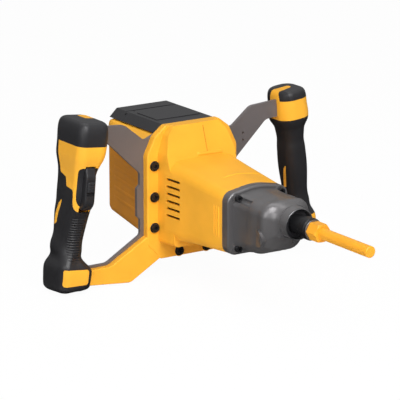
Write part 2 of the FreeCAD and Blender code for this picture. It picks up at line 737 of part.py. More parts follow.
def stator_core():
    end = STATOR_START + STATOR_LEN
    body = ring(STATOR_START, end, SLEEVE_R - SLEEVE_T, STATOR_BORE_R)
    slots = []
    for i in range(STATOR_SLOTS):
        slots.append(slot_block(i, STATOR_START - 1, end + 1, 0))
    return cut_all(body, slots)


def slot_block(index, s_from, s_to, inset):
    high = SLEEVE_R - SLEEVE_T - 5 - inset
    cell = block(-SLOT_W / 2 + inset, SLOT_W / 2 - inset, s_from, s_to, STATOR_BORE_R - 2 + 4 * inset, high)
    cell.rotate(V(0, 0, 0), V(0, 1, 0), 360 / STATOR_SLOTS * index)
    return cell


def stator_windings():
    start = STATOR_START - WINDING_OVERHANG
    end = STATOR_START + STATOR_LEN + WINDING_OVERHANG
    bars = [slot_block(i, start, end, 0.8) for i in range(STATOR_SLOTS)]
    outer = SLEEVE_R - SLEEVE_T - 5.8
    bars.append(ring(start, STATOR_START - 0.2, outer, STATOR_BORE_R + 1.2))
    bars.append(ring(STATOR_START + STATOR_LEN + 0.2, end, outer, STATOR_BORE_R + 1.2))
    return fuse(bars)


def rotor_core():
    radius = STATOR_BORE_R - ROTOR_GAP
    return ring(STATOR_START, STATOR_START + STATOR_LEN, radius, ROTOR_SHAFT_R + FIT)


def fan():
    hub = ring(FAN_S, FAN_S + FAN_W, ROTOR_SHAFT_R + 5, ROTOR_SHAFT_R + FIT)
    back = ring(FAN_S + FAN_W - 2, FAN_S + FAN_W, FAN_R, ROTOR_SHAFT_R + FIT)
    blades = []
    for i in range(FAN_BLADES):
        blade = block(-1, 1, FAN_S, FAN_S + FAN_W - 1, ROTOR_SHAFT_R + 4, FAN_R)
        blade.rotate(V(0, 0, 20), V(0, 1, 0), 25)
        blade.rotate(V(0, 0, 0), V(0, 1, 0), 360 / FAN_BLADES * i)
        blades.append(blade)
    return fuse([hub, back] + blades).common(disc(FAN_S, FAN_S + FAN_W, FAN_R))


def front_bracket():
    end = FRONT_BRACKET_S + FRONT_BRACKET_T
    body = neck_solid(WALL + FIT).common(block(-90, 90, FRONT_BRACKET_S, end, -120, 120))
    tools = [disc(FRONT_BRACKET_S - 1, FRONT_BRACKET_S + ROTOR_BEARING[2], ROTOR_BEARING[1] + FIT),
             disc(FRONT_BRACKET_S, end + 1, ROTOR_BEARING[0] + 2),
             disc(end - LAY_REAR_BEARING[2], end + 1, LAY_REAR_BEARING[1] + FIT, 0, LAY_Z),
             disc(FRONT_BRACKET_S - 1, end, LAY_REAR_BEARING[0] + 2, 0, LAY_Z)]
    return cut_all(body, tools)


# Battery bay

def bay_corners(inset, share):
    """Bay section, share 0 at the plate and 1 at the rear wall."""
    half = BAY_HALF_FRONT + (BAY_HALF_REAR - BAY_HALF_FRONT) * share - inset
    low = BAY_LOW_FRONT + (BAY_LOW_REAR - BAY_LOW_FRONT) * share + inset
    rim = BAY_RIM_HALF - inset / 2
    knee_x = rim + (half - rim) * 0.58
    top = BAY_RIM_Z - inset
    return mirrored([(rim, top, 4), (knee_x, top - 7, 8), (half, top - 28 + 12 * share, 8), (half, low, 12 - inset)])


def bay_solid(inset, s_front, s_rear, rounding=0.0):
    """Tapered box of the bay; rounding breaks the edges of its rear wall."""
    rows = [(inset, 0, s_front), (inset, 1, s_rear + rounding)]
    if rounding:
        rows += [(inset + rounding * 0.3, 1, s_rear + rounding * 0.3), (inset + rounding, 1, s_rear)]
    return Part.makeLoft([section(bay_corners(i, share), s) for i, share, s in rows], True, True)


def battery_bay():
    rear = -PLATE_T - BAY_LEN
    outer = bay_solid(0, -PLATE_T, rear, BAY_REAR_ROUND)
    mouth = block(-BAY_MOUTH_HALF, BAY_MOUTH_HALF, BATTERY_REAR_S - 3, BATTERY_FRONT_S + 3, 0, BAY_RIM_Z + 5)
    shell = outer.cut(bay_solid(WALL, -PLATE_T + 1, rear + WALL))
    bosses = [disc(-PLATE_T - BOSS_LEN, -PLATE_T, BOSS_R, x, z) for x, z in bolt_places()[:6]]
    bosses = [boss.common(outer) for boss in bosses]
    whole = fuse([shell] + bosses)
    tools = [mouth]
    tools += [disc(-PLATE_T - BOSS_LEN - 1, 0, BOLT_R + FIT, x, z) for x, z in bolt_places()[:6]]
    for i in range(5):
        z = -35 + i * 16
        tools.append(block(-30, 30, rear - 1, rear + WALL + 1, z, z + 4))
    return largest(cut_all(whole, tools))


def lid_corners(inset):
    """Roof-shaped section of the lid; inset gives its inner side."""
    return [(LID_HALF - inset * 0.4, LID_TOP - inset, 2), (SKIRT_HALF - inset * 1.4, SKIRT_LOW, 0),
            (-SKIRT_HALF + inset * 1.4, SKIRT_LOW, 0), (-LID_HALF + inset * 0.4, LID_TOP - inset, 2)]


def lid_shell(s_from, s_to, closed_from, closed_to):
    """Roof shell between two stations, with an end wall where closed is 1."""
    outer = prism(lid_corners(0), s_from, s_to)
    inner = prism([(x, z - (z == SKIRT_LOW), r) for x, z, r in lid_corners(LID_WALL)],
                  s_from - 1 + closed_from * (LID_WALL + 1), s_to + 1 - closed_to * (LID_WALL + 1))
    return outer.cut(inner)


def hinge_sides(s_from, s_to, z_from, z_to, gap):
    """Both blocks outside the hinge barrel."""
    inner = BARREL_HALF + gap
    return Part.makeCompound([block(inner, SKIRT_HALF + 5, s_from, s_to, z_from, z_to),
                              block(-SKIRT_HALF - 5, -inner, s_from, s_to, z_from, z_to)])


def battery_lid():
    shell = lid_shell(HINGE_S, LID_FRONT_S, 0, 1)
    over_plate = block(-80, 80, -PLATE_T - PLAY, 1, SKIRT_LOW - 5, PLATE_TOP + PLAY)
    notches = hinge_sides(HINGE_S - 1, HINGE_S + EAR_R + PLAY, SKIRT_LOW - 5, LID_TOP + 5, 0)
    barrel = crossbar(-BARREL_HALF, BARREL_HALF, BARREL_R, HINGE_S, HINGE_Z)
    panel = block(-LID_HALF + 6, LID_HALF - 6, HINGE_S + 14, LID_FRONT_S - 24, LID_TOP - 0.2, LID_TOP + 0.8)
    body = fuse([cut_all(shell, [over_plate, notches]), barrel, panel])
    return body.cut(crossbar(-60, 60, HINGE_PIN_R + FIT, HINGE_S, HINGE_Z))


def hinge_cover():
    """Fixed strip behind the lid; its two ears carry the hinge pin."""
    rear = -PLATE_T - BAY_LEN + 1.0
    front = HINGE_S - BARREL_R - HINGE_GROOVE
    profile = prism(lid_corners(0), rear, HINGE_S + BARREL_R)
    ear_ends = []
    for x in (BARREL_HALF + PLAY, -SKIRT_HALF - 5):
        reach = SKIRT_HALF + 5 - BARREL_HALF - PLAY
        ear_ends.append(crossbar(x, x + reach, EAR_R, HINGE_S, HINGE_Z))
        ear_ends.append(block(x, x + reach, front - 2, HINGE_S, HINGE_Z - EAR_R, HINGE_Z + EAR_R))
    ears = fuse(ear_ends).common(profile)
    skirts = lid_shell(front - 1, HINGE_S + EAR_R, 0, 0).common(
        hinge_sides(front - 1, HINGE_S + EAR_R, SKIRT_LOW, HINGE_Z - 1, PLAY))
    rim = bay_solid(-PLAY / 2, -PLATE_T, -PLATE_T - BAY_LEN - 1)
    whole = fuse([lid_shell(rear, front, 1, 0), ears, skirts]).cut(rim)
    return largest(whole.cut(crossbar(-60, 60, HINGE_PIN_R + FIT, HINGE_S, HINGE_Z)))


def hinge_pin():
    half = BARREL_HALF + PLAY + EAR_T
    return crossbar(-half, half, HINGE_PIN_R, HINGE_S, HINGE_Z)


def battery_pack():
    wire = rounded_wire([(BATTERY_HALF, BATTERY_FRONT_S, 8), (-BATTERY_HALF, BATTERY_FRONT_S, 8),
                         (-BATTERY_HALF, BATTERY_REAR_S, 8), (BATTERY_HALF, BATTERY_REAR_S, 8)],
                        lambda x, s: V(x, station(s), BATTERY_LOW))
    pack = Part.Face(wire).extrude(V(0, 0, BATTERY_TOP - BATTERY_LOW))
    grooves = []
    for side in (-1, 1):
        x = side * BATTERY_HALF
        grooves.append(block(x - 3, x + 3, -50, -42, BATTERY_LOW - 1, BATTERY_TOP - 12))
    grooves.append(block(-24, 24, BATTERY_REAR_S - 1, BATTERY_REAR_S + 4, BATTERY_TOP - 26, BATTERY_TOP - 8))
    return cut_all(pack, grooves)


def terminal_block():
    body = block(-TERMINAL_HALF, TERMINAL_HALF, BATTERY_REAR_S + 8, BATTERY_FRONT_S - 8, BAY_LOW_REAR, BATTERY_LOW)
    return body.common(bay_solid(WALL + FIT, -PLATE_T + 1, -PLATE_T - BAY_LEN + WALL + FIT))


def controller():
    case = block(-CONTROLLER_HALF, CONTROLLER_HALF, 0, CONTROLLER_T, CONTROLLER_LOW, CONTROLLER_HIGH)
    fins = []
    for i in range(7):
        x = -CONTROLLER_HALF + 6 + i * 8.6
        fins.append(block(x, x + 4, CONTROLLER_T - 3, CONTROLLER_T + 1, CONTROLLER_LOW + 3, CONTROLLER_HIGH + 1))
    return cut_all(case, fins)


# Handles, built upright about their own axis: x outward, f forward, h up

def handle_point(h):
    return lambda x, f: V(x, -f, h)


def handle_loft(rows, inset):
    """Skin through rounded sections; a row is (height, half width, front reach, rear reach, corner radius)."""
    wires = []
    last = len(rows) - 1
    for i, (h, half, front, rear, radius) in enumerate(rows):
        level = h - inset if i == 0 else h + inset if i == last else h
        corners = [(half - inset, front - inset, radius - inset), (half - inset, -rear + inset, radius - inset),
                   (-half + inset, -rear + inset, radius - inset), (-half + inset, front - inset, radius - inset)]
        wires.append(rounded_wire(corners, handle_point(level)))
    return Part.makeLoft(wires, True, False)


def foot_rows(lift):
    """Grip end, flare and foot, raised by lift."""
    mid = (FLARE_HIGH + FOOT_TOP) / 2
    rows = [(FLARE_HIGH, GRIP_HALF + 0.5, GRIP_DEPTH + 0.5, 14),
            (mid, (GRIP_HALF + FOOT_HALF) / 2, (GRIP_DEPTH + FOOT_DEPTH) / 2, 12),
            (FOOT_TOP, FOOT_HALF - 0.3, FOOT_DEPTH - 0.3, 10), (FOOT_TOP - 10, FOOT_HALF, FOOT_DEPTH, 10),
            (HANDLE_LOW + END_ROUND + 2, FOOT_HALF, FOOT_DEPTH, 10),
            (HANDLE_LOW, FOOT_HALF - END_ROUND, FOOT_DEPTH - END_ROUND, 8)]
    return [(h + lift, half, depth, depth, r) for h, half, depth, r in rows]


def trigger_rows():
    return [(HANDLE_TOP, HEAD_HALF - END_ROUND, HEAD_FRONT - END_ROUND - 2, HEAD_REAR - END_ROUND, 9),
            (HANDLE_TOP - END_ROUND, HEAD_HALF - 1, HEAD_FRONT - 1.5, HEAD_REAR - 1, 11),
            (CAP_LOW, HEAD_HALF, HEAD_FRONT, HEAD_REAR, 12),
            (HEAD_LOW, HEAD_HALF - 1, HEAD_FRONT - 3, HEAD_REAR + 1, 12),
            (HEAD_LOW - 15, GRIP_HALF + 2.5, GUARD_FRONT + 2, HEAD_REAR + 1.5, 12),
            (8, GRIP_HALF + 1, GUARD_FRONT, HEAD_REAR + 1, 12),
            (-15, GRIP_HALF + 1, GRIP_DEPTH + 8, GRIP_DEPTH + 1.5, 13),
            (-42, GRIP_HALF + 0.5, GRIP_DEPTH + 1, GRIP_DEPTH + 0.5, 14)] + foot_rows(0)


def support_rows():
    top_depth = COLLAR_DEPTH - END_ROUND - 1
    return [(SUPPORT_TOP, COLLAR_HALF_X - END_ROUND - 1, top_depth, top_depth, 14),
            (SUPPORT_TOP - END_ROUND, COLLAR_HALF_X - 1.5, COLLAR_DEPTH - 1.5, COLLAR_DEPTH - 1.5, 18),
            ((SUPPORT_TOP + COLLAR_LOW) / 2, COLLAR_HALF_X - 0.5, COLLAR_DEPTH - 0.5, COLLAR_DEPTH - 0.5, 19),
            (COLLAR_LOW, COLLAR_HALF_X, COLLAR_DEPTH, COLLAR_DEPTH, 19),
            (COLLAR_LOW - 5, COLLAR_HALF_X - 1, COLLAR_DEPTH - 1, COLLAR_DEPTH - 1, 19),
            (COLLAR_LOW - 15, GRIP_HALF + 0.5, GRIP_DEPTH + 0.5, GRIP_DEPTH + 0.5, 15),
            (25, GRIP_HALF, GRIP_DEPTH, GRIP_DEPTH, 14.5),
            (-25, GRIP_HALF, GRIP_DEPTH, GRIP_DEPTH, 14.5)] + foot_rows(SUPPORT_LIFT)


def handle_box(x_from, x_to, f_from, f_to, h_from, h_to):
    return Part.makeBox(x_to - x_from, f_to - f_from, h_to - h_from, V(x_from, -f_to, h_from))


def handle_side(corners, half):
    """Outline of (forward, height, radius) corners pushed across the handle."""
    wire = rounded_wire(corners, lambda f, h: V(-half, -f, h))
    return Part.Face(wire).extrude(V(2 * half, 0, 0))


def onto_frame(shape, side):
    """Tilt a piece by the splay and carry it to its place; side is 1 for the right, -1 for the left."""
    placed = shape.copy()
    placed.rotate(V(0, 0, 0), V(0, 1, 0), -HANDLE_SPLAY)
    placed.translate(V(HANDLE_X, station(HANDLE_S), 0))
    return placed if side > 0 else placed.mirror(V(0, 0, 0), V(1, 0, 0))


SPLIT_F = -PLATE_T - HANDLE_S
FAR = 90.0


def arm_slots(grow):
    """Room for the plate's arm ends and the lower arm covers."""
    face = Part.Face(section(plate_corners(), -PLATE_T - grow))
    plate = face.makeOffset2D(grow).extrude(V(0, -PLATE_T - 2 * grow, 0))
    covers = [prism(outline, -grow, ARM_COVER_T + grow) for outline in arm_covers(grow)]
    return Part.makeCompound([plate] + covers)


def handle_screw_tools(x, z):
    rear = -PLATE_T - HANDLE_SCREW_BITE
    return [disc(rear - 60, rear, HANDLE_SCREW_HEAD_R + PLAY, x, z),
            disc(rear - 1, HANDLE_SCREW_BITE, HANDLE_SCREW_R + FIT, x, z)]


def handle_screw(x, z):
    rear = -PLATE_T - HANDLE_SCREW_BITE
    head = disc(rear - HANDLE_SCREW_HEAD_H, rear, HANDLE_SCREW_HEAD_R, x, z)
    socket = prism(polygon_corners(6, HANDLE_SCREW_HEAD_R * 0.55, x, z), rear - HANDLE_SCREW_HEAD_H - 1,
                   rear - HANDLE_SCREW_HEAD_H + 2)
    return fuse([head, disc(rear - 1, HANDLE_SCREW_BITE - 1, HANDLE_SCREW_R, x, z)]).cut(socket)


def foot_inlay_zone(lift):
    high = lift - 88.5
    low = lift - 109
    corners = [(-17, high, 3), (20, high, 3), (20, low, 3), (-17, low, 3)]
    wire = rounded_wire(corners, lambda x, h: V(x, -FAR, h))
    return Part.Face(wire).extrude(V(0, FAR - 10, 0))


def stripe_zone(shift):
    corners = [(shift - 6, -5, 1.5), (shift + 1, 2.5, 1.0), (shift - 5, -31, 1.5), (shift - 12, -36, 1.0)]
    return handle_side(corners, FAR)


def cap_inlay_zone():
    """Strip on the inner edge of the trigger handle's cap."""
    corners = [(-FAR, 14, 0), (-4, 9, 4), (-4, -13, 4), (-FAR, -18, 0)]
    wire = rounded_wire(corners, lambda x, f: V(x, -f, HANDLE_TOP - 5))
    return Part.Face(wire).extrude(V(0, 0, 40))


def build_handle(rows, yellow_zone, cap_zone, side, cavity, stripe_shift, lift):
    """Shells, rubber and inlays of one handle, as a table of piece to solid."""
    outer = handle_loft(rows, 0)
    under = handle_loft(rows, RUBBER_T)
    core = handle_loft(rows, RUBBER_T + FIT)
    flush = handle_loft(rows, INLAY_T)
    skin = outer.cut(under)
    front_half = handle_box(-FAR, FAR, SPLIT_F, FAR, HANDLE_LOW - 10, HANDLE_TOP + 10)
    foot_zone = handle_box(-FAR, FAR, -FAR, FAR, HANDLE_LOW - 10, (FLARE_HIGH + FOOT_TOP) / 2 + lift)
    yellow_zone = yellow_zone.cut(cap_zone)
    inlay_skin = outer.cut(flush)
    pieces = {"cap": skin.common(cap_zone), "foot": skin.common(foot_zone),
              "grip": skin.cut(foot_zone).cut(cap_zone).cut(yellow_zone)}
    yellow_skin = outer.cut(core).common(yellow_zone)
    pieces["front_shell"] = core.common(front_half).cut(cavity).fuse(yellow_skin.cut(cavity))
    pieces["rear_shell"] = core.cut(front_half).cut(cavity)
    pieces["foot_inlay"] = inlay_skin.common(foot_inlay_zone(lift))
    pieces["grip_inlays"] = inlay_skin.common(stripe_zone(stripe_shift))
    if side < 0:
        pieces["cap_inlay"] = inlay_skin.common(cap_inlay_zone())
        pieces["cap"] = pieces["cap"].cut(pieces["cap_inlay"])
    pieces["foot"] = pieces["foot"].cut(pieces["foot_inlay"])
    pieces["grip"] = pieces["grip"].cut(pieces["grip_inlays"]).cut(cavity)
    tools = [arm_slots(PLAY / 2)]
    for x, z in handle_screw_places():
        if x * side > 0:
            tools += handle_screw_tools(x, z)
    placed = {}
    for name, shape in pieces.items():
        solid = onto_frame(shape, side)
        if "inlay" not in name:
            solid = cut_all(solid, tools)
            solid = largest(solid)
        placed[name] = solid
    return placed


def trigger_room():
    """Space for the trigger over its whole swing, open at the front."""
    half = TRIGGER_HALF + PLAY
    room = handle_box(-half, half, TRIGGER_BACK - 11, FAR, TRIGGER_LOW - 4, TRIGGER_TOP + 1.5)
    pin = crossbar_local(TRIGGER_PIN_HALF + PLAY, TRIGGER_PIN_R + FIT, TRIGGER_PIN_F, TRIGGER_PIN_H)
    switch = handle_box(-SWITCH_HALF - FIT, SWITCH_HALF + FIT, -14 - FIT, TRIGGER_BACK - 10.9, -24 - FIT, 40 + FIT)
    return room.fuse(pin).fuse(switch)


def crossbar_local(half, radius, f, h):
    return Part.makeCylinder(radius, 2 * half, V(-half, -f, h), V(1, 0, 0))


def trigger():
    outline = [(TRIGGER_BACK + 2, TRIGGER_TOP, 3), (TRIGGER_FRONT - 5, TRIGGER_TOP, 3),
               (TRIGGER_FRONT - 1, LOCK_TOP + 6, 14), (TRIGGER_FRONT, 2, 14), (TRIGGER_FRONT - 7, TRIGGER_LOW, 6),
               (TRIGGER_BACK + 2, TRIGGER_LOW, 4), (TRIGGER_BACK, TRIGGER_PIN_H - 10, 2),
               (TRIGGER_PIN_F - 4.5, TRIGGER_PIN_H - 4.5, 2), (TRIGGER_PIN_F - 4.5, TRIGGER_PIN_H + 4.5, 3)]
    body = handle_side(outline, TRIGGER_HALF)
    edges = [e for e in body.Edges if all(abs(abs(v.X) - TRIGGER_HALF) < 1e-4 for v in e.Vertexes)
             and all(-v.Y > TRIGGER_BACK + 5 and v.Z < TRIGGER_TOP - 1 for v in e.Vertexes)]
    body = body.makeFillet(2.5, edges)
    seat_low = LOCK_TOP - LOCK_LEN - LOCK_TRAVEL - PLAY
    seat = handle_box(-LOCK_HALF - PLAY, LOCK_HALF + PLAY, LOCK_SEAT, FAR, seat_low, LOCK_TOP + PLAY)
    return body.cut(seat).cut(crossbar_local(FAR, TRIGGER_PIN_R + FIT, TRIGGER_PIN_F, TRIGGER_PIN_H))


def lock_slider():
    low = LOCK_TOP - LOCK_LEN
    front = TRIGGER_FRONT + LOCK_PROUD
    body = handle_box(-LOCK_HALF, LOCK_HALF, LOCK_SEAT + PLAY / 2, front, low, LOCK_TOP)
    body = body.makeChamfer(1.2, [e for e in body.Edges if all(abs(-v.Y - front) < 1e-4 for v in e.Vertexes)])
    ridges = []
    for i in range(3):
        h = low + 4 + 3.4 * i
        ridges.append(handle_box(-LOCK_HALF + 2, LOCK_HALF - 2, front - 0.5, front + 0.6, h, h + 1.6))
    return fuse([body] + ridges)


def switch_module():
    return handle_box(-SWITCH_HALF, SWITCH_HALF, -14, TRIGGER_BACK - 11, -24, 40)


def trigger_yellow_zone():
    corners = [(YELLOW_REAR, FAR * 2, 0), (YELLOW_REAR, 36, 3), (5, 32, 3), (8.5, 20, 2), (25, 18, 4), (27.5, -2, 6),
               (32, TRIGGER_LOW - 5, 3), (FAR, TRIGGER_LOW - 5, 0), (FAR, FAR * 2, 0)]
    return handle_side(corners, FAR)


def support_yellow_zone():
    return handle_box(-FAR, FAR, YELLOW_REAR - 4, FAR, COLLAR_LOW, FAR * 2)


def support_pad_zone():
    """Thumb pad: over the outer half of the head's top, with a round end towards the inner front."""
    corners = [(-12, FAR, 0), (-12, 8, 8), (8, 2, 5), (6, -15, 5), (-FAR, -15, 0), (-FAR, -FAR, 0), (FAR, -FAR, 0),
               (FAR, FAR, 0)]
    wire = rounded_wire(corners, lambda x, f: V(x, -f, PAD_LOW))
    return Part.Face(wire).extrude(V(0, 0, 40))


def all_pieces():
    pieces = {"frame_plate": frame_plate(), "front_housing": front_housing(), "gear_case": gear_case(),
              "gear_plate": gear_plate(), "battery_bay": battery_bay(), "battery_lid": battery_lid(),
              "hinge_cover": hinge_cover(), "lid_hinge_pin": hinge_pin(), "battery_pack": battery_pack(),
              "terminal_block": terminal_block(), "controller": controller(),
              "motor_rear_bracket": motor_rear_bracket(), "motor_sleeve": motor_sleeve(),
              "motor_front_bracket": front_bracket(), "stator_core": stator_core(),
              "stator_windings": stator_windings(), "rotor_shaft": rotor_shaft(), "rotor_core": rotor_core(),
              "cooling_fan": fan(), "layshaft": layshaft(), "first_stage_gear": first_gear(), "spindle": spindle(),
              "output_gear": output_gear(), "output_gear_key": key_space(0), "retaining_ring": retaining_ring(),
              "spindle_seal": spindle_seal(), "paddle_shaft": paddle_shaft()}
    bracket_end = FRONT_BRACKET_S + FRONT_BRACKET_T
    pieces["rotor_rear_bearing"] = bearing(ROTOR_BEARING, ROTOR_BEARING_S)
    pieces["rotor_front_bearing"] = bearing(ROTOR_BEARING, FRONT_BRACKET_S)
    pieces["layshaft_rear_bearing"] = bearing(LAY_REAR_BEARING, bracket_end - LAY_REAR_BEARING[2], LAY_Z)
    pieces["layshaft_front_bearing"] = bearing(LAY_FRONT_BEARING, OUTPUT_GEAR_S + OUTPUT_GEAR_W + 4, LAY_Z)
    pieces["spindle_rear_bearing"] = bearing(SPINDLE_REAR_BEARING, NECK_END)
    pieces["spindle_front_bearing"] = bearing(SPINDLE_FRONT_BEARING, SPINDLE_FRONT_BEARING_S)
    pieces["housing_bolts"] = Part.makeCompound([housing_bolt(x, z) for x, z in bolt_places()])
    pieces["plate_nuts"] = Part.makeCompound([plate_nut(x, z) for x, z in bolt_places()[6:]])
    pieces["gear_case_screws"] = Part.makeCompound([case_screw(x, z) for x, z in case_screw_places()])
    pieces["handle_screws"] = Part.makeCompound([handle_screw(x, z) for x, z in handle_screw_places()])
    cap_zone = handle_box(-FAR, FAR, -FAR, FAR, CAP_LOW, FAR * 2)
    left = build_handle(trigger_rows(), trigger_yellow_zone(), cap_zone, -1, trigger_room(), 0, 0)
    hollow_rows = [row for row in support_rows() if FOOT_TOP + SUPPORT_LIFT < row[0] < COLLAR_LOW - 6]
    hollow = handle_loft(hollow_rows, RUBBER_T + WALL)
    right = build_handle(support_rows(), support_yellow_zone(), support_pad_zone(), 1, hollow, 7, SUPPORT_LIFT)
    for prefix, group in (("trigger_handle_", left), ("support_handle_", right)):
        for name, solid in group.items():
            pieces[prefix + name] = solid
    pieces["trigger"] = onto_frame(trigger(), -1)
    pieces["trigger_lock"] = onto_frame(lock_slider(), -1)
    pin = crossbar_local(TRIGGER_PIN_HALF, TRIGGER_PIN_R, TRIGGER_PIN_F, TRIGGER_PIN_H)
    pieces["trigger_pin"] = onto_frame(pin, -1)
    pieces["switch_module"] = onto_frame(switch_module(), -1)
    return pieces


os.makedirs("parts", exist_ok=True)
for name, shape in all_pieces().items():
    solids = shape.Solids
    print(name, len(solids), round(sum(s.Volume for s in solids)), all(s.isValid() for s in solids))
    shape.exportStep(os.path.join("parts", name + ".step"))
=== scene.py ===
import json
import math

import bmesh
import bpy
from mathutils import Matrix, Vector
from mathutils.bvhtree import BVHTree

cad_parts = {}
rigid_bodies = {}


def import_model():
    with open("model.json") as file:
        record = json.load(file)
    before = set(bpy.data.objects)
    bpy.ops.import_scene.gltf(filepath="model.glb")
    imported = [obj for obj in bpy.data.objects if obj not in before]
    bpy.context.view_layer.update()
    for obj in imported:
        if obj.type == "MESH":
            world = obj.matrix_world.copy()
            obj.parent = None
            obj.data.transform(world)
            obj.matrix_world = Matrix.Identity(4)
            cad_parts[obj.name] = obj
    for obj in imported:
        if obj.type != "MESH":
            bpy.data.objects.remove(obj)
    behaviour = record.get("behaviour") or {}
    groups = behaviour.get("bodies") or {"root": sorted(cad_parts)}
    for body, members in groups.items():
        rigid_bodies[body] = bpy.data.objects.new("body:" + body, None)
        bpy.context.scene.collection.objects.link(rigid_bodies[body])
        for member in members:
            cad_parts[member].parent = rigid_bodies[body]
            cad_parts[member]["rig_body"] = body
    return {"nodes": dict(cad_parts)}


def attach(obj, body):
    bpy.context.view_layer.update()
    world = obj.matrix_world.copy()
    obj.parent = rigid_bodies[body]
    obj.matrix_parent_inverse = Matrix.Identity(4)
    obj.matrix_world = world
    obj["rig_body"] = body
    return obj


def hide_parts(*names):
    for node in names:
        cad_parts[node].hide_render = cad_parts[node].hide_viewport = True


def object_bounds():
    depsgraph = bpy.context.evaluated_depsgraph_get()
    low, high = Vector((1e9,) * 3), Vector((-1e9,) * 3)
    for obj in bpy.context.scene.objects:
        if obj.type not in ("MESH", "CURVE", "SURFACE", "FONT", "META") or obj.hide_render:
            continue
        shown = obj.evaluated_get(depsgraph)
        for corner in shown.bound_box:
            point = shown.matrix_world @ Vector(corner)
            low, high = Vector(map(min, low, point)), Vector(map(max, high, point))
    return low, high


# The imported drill, in metres: the paddle shaft leaves along -Y, +Z is up, the trigger handle is at -X.
# Stations are counted forward from the front face of the frame plate.
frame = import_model()
nodes = frame["nodes"]
cad_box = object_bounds()
scene = bpy.context.scene
scene.view_settings.view_transform = "Standard"

# The camera stands in front of the drill, to the trigger handle's side and a little above it.
# A long lens keeps the two handles nearly the same size.
camera_azimuth = math.radians(-33.5)
camera_height = math.radians(15.2)
camera_distance = 3.467
aim_right = 0.01533
aim_down = 0.02467
camera_back = Vector((math.sin(camera_azimuth) * math.cos(camera_height),
                      -math.cos(camera_azimuth) * math.cos(camera_height), math.sin(camera_height)))
camera_right = Vector((math.cos(camera_azimuth), math.sin(camera_azimuth), 0))
camera_up = camera_back.cross(camera_right)
plate_y = 0.304
plate_middle = Vector((0, plate_y, 0))
camera_aim = plate_middle + camera_right * aim_right - camera_up * aim_down
camera_data = bpy.data.cameras.new("camera")
camera_data.lens = 234
camera_data.sensor_width = 36
camera = bpy.data.objects.new("camera", camera_data)
camera_turn = Matrix((camera_right, camera_up, camera_back)).transposed().to_4x4()
camera.matrix_world = Matrix.Translation(camera_aim + camera_back * camera_distance) @ camera_turn
scene.collection.objects.link(camera)
scene.camera = camera

# The studio: one large soft lamp high in front, weaker ones at the side and above, and an even weak surround.
# The camera sees plain white; glossy surfaces see a room that is dark below and light above.
world = bpy.data.worlds.new("studio")
scene.world = world
world.use_nodes = True
world_links = world.node_tree.links
world_nodes = world.node_tree.nodes
world_nodes.clear()


def surround(strength):
    """White surround of one strength."""
    light = world_nodes.new("ShaderNodeBackground")
    light.inputs["Color"].default_value = (1, 1, 1, 1)
    light.inputs["Strength"].default_value = strength
    return light


fill_light = surround(0.24)
seen_white = surround(1)
mirror_room = surround(1)
room_place = world_nodes.new("ShaderNodeTexCoord")
room_height = world_nodes.new("ShaderNodeSeparateXYZ")
room_light = world_nodes.new("ShaderNodeMapRange")
room_light.inputs["From Min"].default_value = -0.25
room_light.inputs["From Max"].default_value = 0.8
room_light.inputs["To Min"].default_value = 0.03
room_light.inputs["To Max"].default_value = 0.62
world_links.new(room_place.outputs["Generated"], room_height.inputs[0])
world_links.new(room_height.outputs["Z"], room_light.inputs["Value"])
world_links.new(room_light.outputs["Result"], mirror_room.inputs["Strength"])
world_ray = world_nodes.new("ShaderNodeLightPath")
glossy_pick = world_nodes.new("ShaderNodeMixShader")
camera_pick = world_nodes.new("ShaderNodeMixShader")
world_out = world_nodes.new("ShaderNodeOutputWorld")
world_links.new(world_ray.outputs["Is Glossy Ray"], glossy_pick.inputs["Fac"])
world_links.new(fill_light.outputs[0], glossy_pick.inputs[1])
world_links.new(mirror_room.outputs[0], glossy_pick.inputs[2])
world_links.new(world_ray.outputs["Is Camera Ray"], camera_pick.inputs["Fac"])
world_links.new(glossy_pick.outputs[0], camera_pick.inputs[1])
world_links.new(seen_white.outputs[0], camera_pick.inputs[2])
world_links.new(camera_pick.outputs[0], world_out.inputs["Surface"])


def add_lamp(name, direction, distance, size, power):
    """Square soft lamp that looks at the plate's middle."""
    data = bpy.data.lights.new(name, "AREA")
    data.size = size
    data.energy = power
    lamp = bpy.data.objects.new(name, data)
    towards = Vector(direction).normalized()
    lamp.location = plate_middle + towards * distance
    lamp.rotation_euler = towards.to_track_quat("Z", "Y").to_euler()
    scene.collection.objects.link(lamp)


add_lamp("front_lamp", (-0.25, -0.85, 0.75), distance=2.2, size=1.3, power=40)
add_lamp("side_lamp", (-0.95, -0.60, 0.35), distance=2.2, size=1.2, power=11)
add_lamp("top_lamp", (0.10, 0.10, 1.0), distance=2.0, size=1.5, power=9)

# The floor: a wide white sheet just under the lower handle foot.
# To the camera it nearly all glows white, so it takes only a faint shadow, and no surface mirrors it.
floor_half = 6.0
floor_gap = 0.0005
glow_share = 0.97
floor_mesh = bmesh.new()
bmesh.ops.create_grid(floor_mesh, x_segments=1, y_segments=1, size=floor_half)
bmesh.ops.translate(floor_mesh, verts=floor_mesh.verts, vec=(0, 0, cad_box[0][2] - floor_gap))
floor_data = bpy.data.meshes.new("floor")
floor_mesh.to_mesh(floor_data)
floor_mesh.free()
floor = bpy.data.objects.new("floor", floor_data)
scene.collection.objects.link(floor)
floor_paint = bpy.data.materials.new("floor_paint")
floor_paint.use_nodes = True
floor_nodes = floor_paint.node_tree.nodes
floor_links = floor_paint.node_tree.links
floor_nodes.clear()
floor_out = floor_nodes.new("ShaderNodeOutputMaterial")
floor_diffuse = floor_nodes.new("ShaderNodeBsdfDiffuse")
floor_diffuse.inputs["Color"].default_value = (0.9, 0.9, 0.9, 1)
floor_glow = floor_nodes.new("ShaderNodeEmission")
floor_mix = floor_nodes.new("ShaderNodeMixShader")
floor_ray = floor_nodes.new("ShaderNodeLightPath")
floor_share = floor_nodes.new("ShaderNodeMath")
floor_share.operation = "MULTIPLY"
